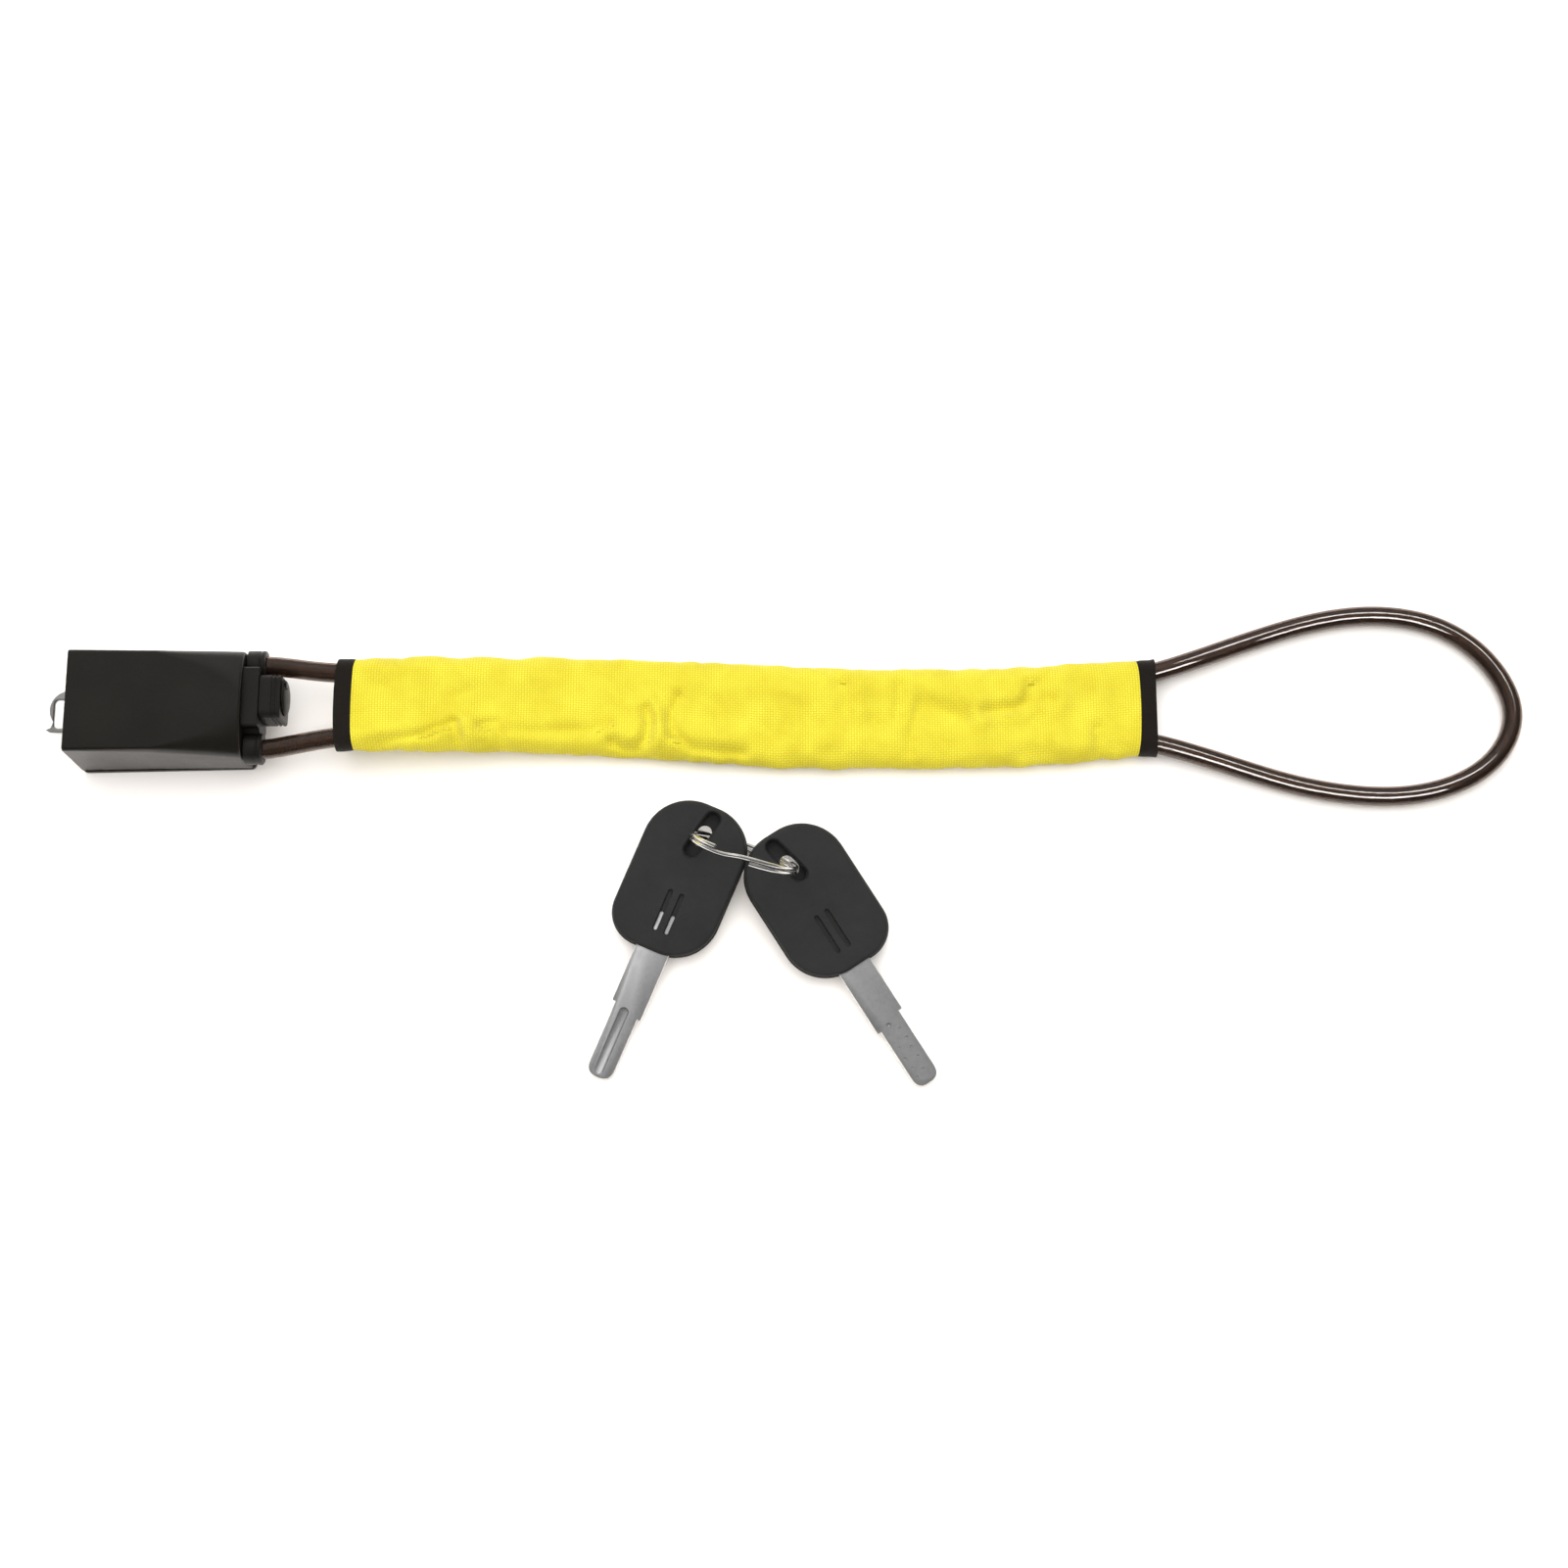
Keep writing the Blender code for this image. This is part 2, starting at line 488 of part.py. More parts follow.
base = cover_outline(0.0)
cen = Vector((COVER[0], COVER[1]))
rings = [[(52.5, a, b) for a, b in base], [(52.9, a, b) for a, b in base]]
for f, x in ((0.93, 53.25), (0.78, 53.7), (0.55, 54.1), (0.3, 54.35)):
    rings.append([(x, cen.x + (a - cen.x) * f, cen.y + (b - cen.y) * f) for a, b in base])
cover = finish("keyway_cover", loft(rings), M_BLACK)
boolean(cover, turned_x([(50, 0), (50, 1.15), (60, 1.15), (60, 0)], 12, *PIN))
boolean(cover, turned_x([(53.3, 0), (53.3, 2.1), (60, 2.1), (60, 0)], 16, *PIN))
finish("cover_pivot_pin", turned_x([(51.0, 0), (51.0, 0.8), (53.65, 0.8), (53.65, 1.7), (54.2, 1.5), (54.3, 0)], 14, *PIN), M_STEEL)
boolean(shroud, turned_x([(50.65, 0), (50.65, 1.15), (55, 1.15), (55, 0)], 12, *PIN))

# ---------------------------------------------------------------- the cable
# one run in plan: out of the head on the +Y side, round the loop, back on the -Y side
ROUTE = [
    (21.4, 18.2), (33.0, 18.2), (44.0, 18.2), (52.0, 17.6), (62.0, 16.4), (74.0, 15.5), (92.0, 15.2), (120.0, 14.8), (150.0, 14.6),
    (185.0, 14.3), (220.0, 13.1), (260.0, 11.0), (300.0, 10.2), (340.0, 9.9), (370.0, 10.5), (395.0, 13.4), (412.0, 17.0),
    (428.8, 21.5), (456.3, 31.2), (483.8, 40.3), (505.0, 44.8), (524.8, 45.5), (545.0, 41.2), (561.0, 31.6), (572.0, 18.0),
    (576.6, 2.4), (571.2, -13.4), (558.5, -25.0), (541.0, -32.0), (520.4, -34.5), (500.0, -33.0), (480.5, -29.1), (454.1, -21.1),
    (427.6, -13.3), (411.0, -10.0), (394.0, -8.9), (370.0, -10.2), (340.0, -11.6), (300.0, -12.0), (260.0, -10.8), (220.0, -8.3),
    (185.0, -6.9), (150.0, -7.3), (120.0, -8.6), (92.0, -10.8), (74.0, -12.7), (62.0, -14.9), (52.0, -17.0), (44.0, -18.2),
    (33.0, -18.2), (21.4, -18.2),
]


def ease(x, x0, x1):
    t = min(max((x - x0) / (x1 - x0), 0.0), 1.0)
    return t * t * (3 - 2 * t)


def cable_height(x):
    """Level with the ferrules at the head, down to the floor inside the sleeve, and flat in the loop."""
    return CABLE_Z + (6.5 - CABLE_Z) * ease(x, 48.0, 212.0) + (4.3 - 6.5) * ease(x, 424.0, 476.0)


fine, _ = smooth_curve(ROUTE, 1.0)
fine = np.array([(x, y, cable_height(x)) for x, y in fine])
CABLE_LENGTH = float(np.linalg.norm(np.diff(fine, axis=0), axis=1).sum())
BEND_X = 44.7  # the rope is straight up to here, inside ferrule and collar
along = np.concatenate([[0], np.cumsum(np.linalg.norm(np.diff(fine, axis=0), axis=1))])
start = float(np.interp(BEND_X, fine[:60, 0], along[:60]))
count = int(round((along[-1] - 2 * start) / 20.0))
at = np.linspace(start, along[-1] - start, count + 1)
line = np.stack([np.interp(at, along, fine[:, k]) for k in range(3)], 1)
line[0], line[-1] = (BEND_X, CABLE_Y, CABLE_Z), (BEND_X, -CABLE_Y, CABLE_Z)
ends = [np.array([[x, s * CABLE_Y, CABLE_Z] for x in (21.4, 33.0)]) for s in (1, -1)]
line = np.concatenate([ends[0], line, ends[1][::-1]])
tube_curve("cable_rope", line, ROPE_R, M_ROPE, 2)

# the jacket follows the same line from just outside the collars
jacket_line = np.array(line[2:-2])
for i, j in ((0, 1), (-1, -2)):
    step = jacket_line[j] - jacket_line[i]
    jacket_line[i] = jacket_line[i] + step / np.linalg.norm(step) * 1.1
jacket = tube_curve("cable_jacket", jacket_line, JACKET_R, M_PVC, 3, caps=False)
solid = jacket.modifiers.new("wall", "SOLIDIFY")
solid.thickness = (JACKET_R - JACKET_IN) * MM
solid.offset = -1.0
solid.use_rim = True

for s, side in ((1, "upper"), (-1, "lower")):
    cy = s * CABLE_Y
    x0, x1 = COLLAR_X
    collar = finish(
        f"cable_collar_{side}",
        turned_x([(x0, 0), (x0, COLLAR_R), (x0 + 5.0, COLLAR_R), (x0 + 5.2, COLLAR_R - 0.3), (x0 + 5.7, COLLAR_R - 0.3), (x0 + 5.9, COLLAR_R), (x1 - 0.6, COLLAR_R), (x1, COLLAR_R - 0.6), (x1, 0)], 24, s * 18.1, CABLE_Z),
        M_BLACK,
    )
    boolean(collar, turned_x([(30, 0), (30, 3.3), (50, 3.3), (50, 0)], 16, cy, CABLE_Z))
    if s > 0:  # a flat that clears the shroud
        boolean(collar, cut_box(42.7, 50, 0, AXIS_Y + 10.05, 0, 40))
    ferrule = finish(f"cable_ferrule_{side}", turned_x(ring_profile(21.0, 35.4, 3.3, 4.05, 0.2), 16, cy, CABLE_Z), M_ZINC)
    finish(f"ferrule_pin_{side}", turned_z([(3.6, 0), (3.6, 1.0), (3.8, 1.2), (CABLE_Z - 4.6, 1.2), (CABLE_Z - 4.4, 1.0), (CABLE_Z - 4.4, 0)], 12, 24.0, cy), M_STEEL)


# ------------------------------------------------------------- the sleeve
def between(x, table):
    return float(np.interp(x, [t[0] for t in table], [t[1] for t in table]))


def route_at(x, side):
    """The cable's centre (y, z) at x on the +Y run (side 1) or the -Y run (side -1)."""
    h = len(line) // 2
    part = line[:h] if side > 0 else line[h:][::-1]
    part = part[: int(np.argmax(part[:, 0] > 440.0)) + 1]
    return float(np.interp(x, part[:, 0], part[:, 1])), float(np.interp(x, part[:, 0], part[:, 2]))


HALF_FLAT = [(70, 19.7), (90, 19.6), (140, 20.3), (200, 21.1), (250, 21.9), (320, 21.6), (380, 21.2), (410, 20.9), (424, 20.8)]


def sleeve_ring(x, grow, height, n=4):
    """A flat oval of (x, y, z) round both cables at x."""
    (ya, za), (yb, zb) = route_at(x, 1), route_at(x, -1)
    cy, cz = (ya + yb) / 2, (za + zb) / 2
    hw, hh = max(between(x, HALF_FLAT), (ya - yb) / 2 + JACKET_R + 1.25) + grow, height
    out = []
    for sx, a0 in ((1, -90), (-1, 90)):
        for k in range(2 * n + 1):
            a = math.radians(a0 + 180 * k / (2 * n))
            out.append((x, cy + sx * (hw - hh) + hh * math.cos(a), cz + hh * math.sin(a)))
    return out


def oval_tube(name, xs, wall, grow, height, mat):
    outer = [sleeve_ring(x, grow, height) for x in xs]
    inner = [sleeve_ring(x, grow - wall, height - wall) for x in reversed(xs)]
    return finish(name, loft(outer + inner, caps=False), mat, angle=60)


xs = list(np.linspace(SLEEVE_X[0], SLEEVE_X[1], 19))
oval_tube("sleeve_fabric", xs, 0.9, 0.0, 6.35, M_YELLOW)
oval_tube("sleeve_binding_head_end", list(np.linspace(*BIND_HEAD_X, 3)), 1.0, 0.25, 6.5, M_BIND)
oval_tube("sleeve_binding_loop_end", list(np.linspace(*BIND_LOOP_X, 3)), 1.0, 0.25, 6.3, M_BIND)

# --------------------------------------------------------------- the keys
# each key's own frame has its origin where the split ring crosses the bow's middle plane,
# +Y towards the bow's round top and +Z up
CROSS = {"left": Vector((229.7, -57.1, 11.9)), "right": Vector((264.0, -69.2, 11.9))}
TURN = {"left": -23.3, "right": 33.0}
PITCH = {"left": 5.95, "right": 6.15}
SLOT_AT = {"left": (0.3, 0.0), "right": (-0.75, 3.0)}  # the slot's centre, seen from the ring's crossing point
FLIP = {"left": 1, "right": -1}
BOW_TOP, BOW_END, STEP_Y, TIP_Y = 11.7, -48.0, -70.3, -99.0
BOW_R, BOW_OFF = (17.5, 18.0, 13.0, 17.5), -0.75


def key_frame(side):
    return (
        Matrix.Translation(CROSS[side] * MM)
        @ Matrix.Rotation(math.radians(TURN[side]), 4, "Z")
        @ Matrix.Rotation(math.radians(PITCH[side]), 4, "X")
    )


def bow_outline(f):
    """The bow's plan: a soft rectangle with uneven corners, set a little to one side of its blade."""
    y0, y1 = BOW_END, BOW_TOP
    out = []
    for (cx, cy, a0), r in zip(((1, 1, 0), (-1, 1, 90), (-1, -1, 180), (1, -1, 270)), BOW_R):
        ox, oy = BOW_OFF + cx * (BOW_W / 2 - r), (y1 - r) if cy > 0 else (y0 + r)
        for k in range(6):
            t = math.radians(a0 + 90 * k / 5)
            out.append((f * (ox + r * math.cos(t)), oy + r * math.sin(t)))
    return out if f > 0 else list(reversed(out))


def slot_outline(f, half=7.0):
    """The ring's slot, long along the key and leaning a little."""
    lean, r, cx, cy = math.radians(12.0) * f, 2.75, 0.0, 0.0
    out = []
    for s in (1, -1):
        ox, oy = cx + s * half * math.sin(lean), cy + s * half * math.cos(lean)
        for k in range(7):
            a = -lean + (0 if s > 0 else math.pi) + math.pi * k / 6
            out.append((ox + r * math.cos(a), oy + r * math.sin(a)))
    return out


def moved(outline, by):
    return [(a + by[0], b + by[1]) for a, b in outline]


# the key set is drawn small and set to its real size about one point of the table
enlarge = Matrix.Translation((KEY_ABOUT + KEY_SHIFT) * MM) @ Matrix.Diagonal((KEY_SCALE, KEY_SCALE, KEY_SCALE, 1)) @ Matrix.Translation(-KEY_ABOUT * MM)

for side in ("left", "right"):
    f, frame, by = FLIP[side], key_frame(side), SLOT_AT[side]
    o = moved(bow_outline(f), by)
    h = BOW_T / 2
    rings = []
    for d, z in ((1.5, -h), (0.45, -h + 0.45), (0.0, -h + 1.5), (0.0, h - 1.5), (0.45, h - 0.45), (1.5, h)):
        rings.append([(x, y, z) for x, y in (inset(o, d) if d else o)])
    bow = finish(f"key_bow_{side}", loft(rings), M_BOW)
    # the slot is blind at its two ends and goes through where the ring crosses it
    boolean(bow, prism(moved(slot_outline(f), by), -h + 0.9, 5))
    boolean(bow, prism(moved(slot_outline(f, 1.5), (by[0] * 0.5, by[1] * 0.35)), -5, 5))
    # a socket for the blade, and two shallow stripes on the top face
    boolean(bow, cut_box(by[0] - 7.15, by[0] + 7.15, by[1] + BOW_END - 3, by[1] + BOW_END + 16.3, -BLADE_T / 2 - 0.35, BLADE_T / 2 + 0.35))
    for sx in (-2.3, 2.3):
        boolean(bow, cut_box(by[0] + sx - 0.75, by[0] + sx + 0.75, by[1] - 40.0, by[1] - 23.5, h - 0.5, h + 1))
    w1, w2 = BLADE_HALF, BLADE_ROOT
    blade = [(-w2, BOW_END + 16.0), (-w2, STEP_Y + 0.4), (-w2 + 0.4, STEP_Y), (-w1, STEP_Y)]
    blade += [(-w1, TIP_Y + 4.2), (-w1 + 1.0, TIP_Y + 1.6), (-2.0, TIP_Y + 0.2), (0.0, TIP_Y), (2.0, TIP_Y + 0.2), (w1 - 1.0, TIP_Y + 1.6), (w1, TIP_Y + 4.2)]
    blade += [(w1, STEP_Y - 3.2), (w2 - 0.4, STEP_Y - 3.2), (w2, STEP_Y - 2.8), (w2, BOW_END + 16.0)]
    if f < 0:
        blade = [(-a, b) for a, b in reversed(blade)]
    b = finish(f"key_blade_{side}", prism(moved(blade, by), -BLADE_T / 2, BLADE_T / 2, bevel=0.2), M_NICKEL)
    # the milled channel down the top face, and the side cuts
    boolean(b, prism(moved(rounded_rect(-1.3 - 0.5 * f, 1.3 - 0.5 * f, TIP_Y - 5, STEP_Y + 3.5, 1.25, 3), by), BLADE_T / 2 - 0.8, 4))
    for k, depth in enumerate((0.5, 0.9, 0.4, 0.8, 0.6)):
        y = TIP_Y + 6.5 + 4.1 * k
        boolean(b, prism(moved([(-(w1 + 0.3) * f, y - 0.9), (-w1 * f + depth * f * 1.4, y), (-(w1 + 0.3) * f, y + 0.9)], by), 0.2, 4))
    bow.data.transform(enlarge @ frame)
    b.data.transform(enlarge @ frame)


# the split ring: two turns of wire with a jog where they pass each other
RING_TILT = math.radians(73.0)
u = (CROSS["right"] - CROSS["left"]).normalized()
v = Vector((u.y, -u.x, 0)).normalized()  # horizontal, across the ring's chord, towards -Y
if v.y > 0:
    v = -v
w = v * math.cos(RING_TILT) + Vector((0, 0, 1)) * math.sin(RING_TILT)
axis = u.cross(w).normalized()
half_chord = (CROSS["right"] - CROSS["left"]).length / 2
RING_R = 20.5
rise = math.sqrt(RING_R**2 - half_chord**2)
RING_C = (CROSS["left"] + CROSS["right"]) / 2 + w * rise
SPLIT = math.radians(97.0)


def ring_points(n=52):
    out = []
    for k in range(n + 1):
        t = math.radians(20) + (4 * math.pi - math.radians(40)) * k / n
        j = (t - 2 * math.pi) / math.radians(18)
        level = 1 / (1 + math.exp(-3 * max(-6, min(6, j)))) - 0.5
        a = t + SPLIT
        p = RING_C + (u * math.cos(a) + w * math.sin(a)) * RING_R + axis * level * RING_STEP
        out.append(KEY_ABOUT + KEY_SHIFT + (p - KEY_ABOUT) * KEY_SCALE)
    return out


tube_curve("split_ring", ring_points(), RING_WIRE_R * KEY_SCALE, M_NICKEL, 2)
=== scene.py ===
import bpy
import bmesh
import math
import numpy as np
from mathutils import Matrix, Vector, noise


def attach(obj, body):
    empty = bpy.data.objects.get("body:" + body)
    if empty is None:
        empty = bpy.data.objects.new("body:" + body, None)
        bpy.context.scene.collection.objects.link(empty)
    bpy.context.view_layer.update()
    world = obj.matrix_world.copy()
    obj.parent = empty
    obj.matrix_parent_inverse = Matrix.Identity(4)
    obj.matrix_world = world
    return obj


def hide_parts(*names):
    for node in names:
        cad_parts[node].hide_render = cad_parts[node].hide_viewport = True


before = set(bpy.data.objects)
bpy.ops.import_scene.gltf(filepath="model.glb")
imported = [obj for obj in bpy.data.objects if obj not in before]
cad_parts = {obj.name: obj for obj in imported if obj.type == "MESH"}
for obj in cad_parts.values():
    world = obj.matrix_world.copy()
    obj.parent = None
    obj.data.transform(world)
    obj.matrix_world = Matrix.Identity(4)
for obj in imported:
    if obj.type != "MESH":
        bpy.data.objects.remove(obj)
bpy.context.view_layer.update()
MM = 0.001
COLL = bpy.context.scene.collection
SCENE = bpy.context.scene


# ---------------------------------------------------------------- camera
# the picture was taken almost from above, a little from the side of the keys
TILT, DIST = math.radians(13.0), 1.05
AIM = Vector((0.2634, -0.0281, 0.0))
cam_data = bpy.data.cameras.new("camera")
cam_data.sensor_fit = "HORIZONTAL"
cam_data.sensor_width = 36.0
cam_data.lens = 2500.0 / 1601.0 * 36.0
cam_data.clip_start, cam_data.clip_end = 0.05, 20.0
cam = bpy.data.objects.new("camera", cam_data)
COLL.objects.link(cam)
cam.matrix_world = Matrix.Translation(AIM + Vector((0, -DIST * math.sin(TILT), DIST * math.cos(TILT)))) @ Matrix.Rotation(TILT, 4, "X")
SCENE.camera = cam


# --------------------------------------------------------------- helpers
def smooth_by(me, angle):
    me.shade_smooth()
    me.set_sharp_from_angle(angle=math.radians(angle))


def piece(name, bm, mat, body, replaces=(), angle=32, scale=True):
    """A finished piece from a bmesh in millimetres, riding on a body."""
    bmesh.ops.remove_doubles(bm, verts=bm.verts, dist=1e-4)
    bmesh.ops.recalc_face_normals(bm, faces=bm.faces)
    if scale:
        bmesh.ops.scale(bm, vec=(MM, MM, MM), verts=bm.verts)
    me = bpy.data.meshes.new(name)
    bm.to_mesh(me)
    bm.free()
    me.materials.append(mat)
    smooth_by(me, angle)
    ob = bpy.data.objects.new(name, me)
    COLL.objects.link(ob)
    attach(ob, body)
    if replaces:
        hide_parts(*replaces)
    return ob


def boolean(target, cutter_bm, op="DIFFERENCE", angle=32):
    """Applies one exact Boolean with a temporary cutter."""
    bmesh.ops.recalc_face_normals(cutter_bm, faces=cutter_bm.faces)
    bmesh.ops.scale(cutter_bm, vec=(MM, MM, MM), verts=cutter_bm.verts)
    me = bpy.data.meshes.new("cutter")
    cutter_bm.to_mesh(me)
    cutter_bm.free()
    cutter = bpy.data.objects.new("cutter", me)
    COLL.objects.link(cutter)
    mod = target.modifiers.new("cut", "BOOLEAN")
    mod.operation, mod.object, mod.solver = op, cutter, "EXACT"
    deps = bpy.context.evaluated_depsgraph_get()
    deps.update()
    new = bpy.data.meshes.new_from_object(target.evaluated_get(deps))
    target.modifiers.remove(mod)
    old = target.data
    target.data = new
    bpy.data.meshes.remove(old)
    bpy.data.objects.remove(cutter, do_unlink=True)
    bpy.data.meshes.remove(me)
    smooth_by(target.data, angle)


def loft(rings, close=True, caps=True):
    bm = bmesh.new()
    vs = [[bm.verts.new(p) for p in r] for r in rings]
    n = len(rings[0])
    for i in range(len(rings) - 1 if caps else len(rings)):
        a, b = vs[i], vs[(i + 1) % len(vs)]
        for j in range(n if close else n - 1):
            bm.faces.new((a[j], a[(j + 1) % n], b[(j + 1) % n], b[j]))
    if caps:
        bm.faces.new(vs[0])
        bm.faces.new(vs[-1])
    return bm


def inset(outline, d):
    p = np.array(outline, float)
    area = 0.5 * np.sum(p[:, 0] * np.roll(p[:, 1], -1) - np.roll(p[:, 0], -1) * p[:, 1])
    s = 1.0 if area > 0 else -1.0
    e0, e1 = p - np.roll(p, 1, 0), np.roll(p, -1, 0) - p
    e0 /= np.linalg.norm(e0, axis=1)[:, None]
    e1 /= np.linalg.norm(e1, axis=1)[:, None]
    n0 = np.stack([-e0[:, 1], e0[:, 0]], 1) * s
    n1 = np.stack([-e1[:, 1], e1[:, 0]], 1) * s
    m = n0 + n1
    m /= np.maximum((m * n0).sum(1), 0.2)[:, None]
    return [tuple(q) for q in p + m * d]


PUT = {"Z": lambda a, b, h: (a, b, h), "X": lambda a, b, h: (h, a, b)}


def prism(outline, lo, hi, axis="Z", bevel=0.0, steps=4):
    """An outline extruded along an axis, with rounded edges when bevel is given."""
    put = PUT[axis]
    if not bevel:
        return loft([[put(a, b, h) for a, b in outline] for h in (lo, hi)])
    levels = []
    for k in range(steps + 1):
        a = math.pi / 2 * k / steps
        levels.append((bevel * (1 - math.sin(a)), lo + bevel * (1 - math.cos(a))))
    levels += [(d, lo + hi - h) for d, h in reversed(levels)]
    return loft([[put(a, b, h) for a, b in (inset(outline, d) if d > 1e-9 else outline)] for d, h in levels])


def rounded_rect(x0, x1, y0, y1, r, n=4):
    r = [r] * 4 if not isinstance(r, (list, tuple)) else r
    out = []
    for (cx, cy, a), q in zip(((x1, y1, 0), (x0, y1, 90), (x0, y0, 180), (x1, y0, 270)), r):
        ox = cx - q if cx == x1 else cx + q
        oy = cy - q if cy == y1 else cy + q
        for k in range(n + 1):
            t = math.radians(a + 90 * k / n)
            out.append((ox + q * math.cos(t), oy + q * math.sin(t)))
    return out


def circle(r, n, cx=0.0, cy=0.0):
    return [(cx + r * math.cos(2 * math.pi * k / n), cy + r * math.sin(2 * math.pi * k / n)) for k in range(n)]


def turned_x(profile, n, cy, cz):
    bm = bmesh.new()
    rows = []
    for x, r in profile:
        if r < 1e-6:
            rows.append([bm.verts.new((x, cy, cz))])
        else:
            rows.append([bm.verts.new((x, cy + r * math.cos(2 * math.pi * k / n), cz + r * math.sin(2 * math.pi * k / n))) for k in range(n)])
    if profile[0] == profile[-1]:
        for v in rows[-1]:
            bm.verts.remove(v)
        rows[-1] = rows[0]
    for a, b in zip(rows[:-1], rows[1:]):
        for k in range(n):
            j = (k + 1) % n
            if len(a) == 1 and len(b) == 1:
                continue
            if len(a) == 1:
                bm.faces.new((a[0], b[j], b[k]))
            elif len(b) == 1:
                bm.faces.new((a[k], a[j], b[0]))
            else:
                bm.faces.new((a[k], a[j], b[j], b[k]))
    return bm


def turned_z(profile, n, cx, cy):
    bm = turned_x([(z, r) for z, r in profile], n, 0, 0)
    for v in bm.verts:
        x, y, z = v.co
        v.co = (cx + y, cy + z, x)
    return bm


def rounded_profile(profile, r, steps=3):
    """Rounds each corner of an (x, r) profile by up to r."""
    out = []
    n = len(profile)
    ring = profile[0] == profile[-1]
    core = profile[:-1] if ring else profile
    m = len(core)
    for i, p in enumerate(core):
        if not ring and (i == 0 or i == m - 1):
            out.append(p)
            continue
        a, b = core[i - 1], core[(i + 1) % m]
        va, vb = Vector((a[0] - p[0], a[1] - p[1])), Vector((b[0] - p[0], b[1] - p[1]))
        la, lb = va.length, vb.length
        if la < 1e-6 or lb < 1e-6 or abs(va.normalized().dot(vb.normalized())) > 0.97:
            out.append(p)
            continue
        q = min(r, la * 0.45, lb * 0.45)
        s, e, c = Vector(p) + va / la * q, Vector(p) + vb / lb * q, Vector(p)
        for k in range(steps + 1):
            t = k / steps
            v = s * (1 - t) ** 2 + c * 2 * t * (1 - t) + e * t * t
            out.append((v.x, max(v.y, 0.0)))
    if ring:
        out.append(out[0])
    return out


def cut_box(x0, x1, y0, y1, z0, z1):
    return prism([(x0, y0), (x1, y0), (x1, y1), (x0, y1)], z0, z1)


# ------------------------------------------------------------- materials
class Nodes:
    """Small help for building a material's node graph."""

    def __init__(self, name):
        self.m = bpy.data.materials.new(name)
        self.m.use_nodes = True
        self.t = self.m.node_tree
        self.b = self.t.nodes["Principled BSDF"]
        self.tex = self.t.nodes.new("ShaderNodeTexCoord")
        self.pos = self.tex.outputs["Object"]

    def set(self, **kw):
        for k, v in kw.items():
            self.b.inputs[k.replace("_", " ")].default_value = v
        return self

    def link(self, a, b):
        self.t.links.new(a, b)

    def put(self, a, key):
        self.t.links.new(a, self.b.inputs[key])

    def mapped(self, scale, src=None, rot=(0, 0, 0)):
        n = self.t.nodes.new("ShaderNodeMapping")
        n.inputs["Scale"].default_value = scale
        n.inputs["Rotation"].default_value = rot
        self.link(src or self.pos, n.inputs["Vector"])
        return n.outputs[0]

    def noise(self, scale, detail=3.0, rough=0.55, src=None, distortion=0.0):
        n = self.t.nodes.new("ShaderNodeTexNoise")
        n.inputs["Scale"].default_value = scale
        n.inputs["Detail"].default_value = detail
        n.inputs["Roughness"].default_value = rough
        n.inputs["Distortion"].default_value = distortion
        self.link(src or self.pos, n.inputs["Vector"])
        return n.outputs["Fac"]

    def voronoi(self, scale, src=None, feature="F1"):
        n = self.t.nodes.new("ShaderNodeTexVoronoi")
        n.feature = feature
        n.inputs["Scale"].default_value = scale
        self.link(src or self.pos, n.inputs["Vector"])
        return n.outputs["Distance"]

    def ramp(self, fac, stops):
        n = self.t.nodes.new("ShaderNodeValToRGB")
        r = n.color_ramp
        while len(r.elements) < len(stops):
            r.elements.new(0.5)
        for e, (p, c) in zip(r.elements, stops):
            e.position = p
            e.color = (*c, 1) if isinstance(c, (tuple, list)) else (c, c, c, 1)
        self.link(fac, n.inputs["Fac"])
        return n.outputs["Color"]

    def span(self, fac, lo, hi, out_lo, out_hi):
        n = self.t.nodes.new("ShaderNodeMapRange")
        for key, v in (("From Min", lo), ("From Max", hi), ("To Min", out_lo), ("To Max", out_hi)):
            n.inputs[key].default_value = v
        self.link(fac, n.inputs["Value"])
        return n.outputs["Result"]

    def math(self, op, a, b=None, c=None):
        n = self.t.nodes.new("ShaderNodeMath")
        n.operation = op
        for i, v in enumerate((a, b, c)):
            if v is None:
                continue
            if isinstance(v, (int, float)):
                n.inputs[i].default_value = v
            else:
                self.link(v, n.inputs[i])
        return n.outputs[0]

    def mix(self, fac, a, b, blend="MIX"):
        n = self.t.nodes.new("ShaderNodeMix")
        n.data_type = "RGBA"
        n.blend_type = blend
        for key, v in ((0, fac), (6, a), (7, b)):
            if isinstance(v, (int, float)):
                n.inputs[key].default_value = v
            elif isinstance(v, (tuple, list)):
                n.inputs[key].default_value = (*v, 1)
            else:
                self.link(v, n.inputs[key])
        return n.outputs[2]

    def bump(self, height, strength, distance, normal=None):
        n = self.t.nodes.new("ShaderNodeBump")
        n.inputs["Strength"].default_value = strength
        n.inputs["Distance"].default_value = distance
        self.link(height, n.inputs["Height"])
        if normal is not None:
            self.link(normal, n.inputs["Normal"])
        return n.outputs[0]

    def uv(self):
        n = self.t.nodes.new("ShaderNodeUVMap")
        n.uv_map = "UVMap"
        s = self.t.nodes.new("ShaderNodeSeparateXYZ")
        self.link(n.outputs[0], s.inputs[0])
        return n.outputs[0], s.outputs[0], s.outputs[1]

    def edges(self):
        g = self.t.nodes.new("ShaderNodeNewGeometry")
        return g.outputs["Pointiness"]


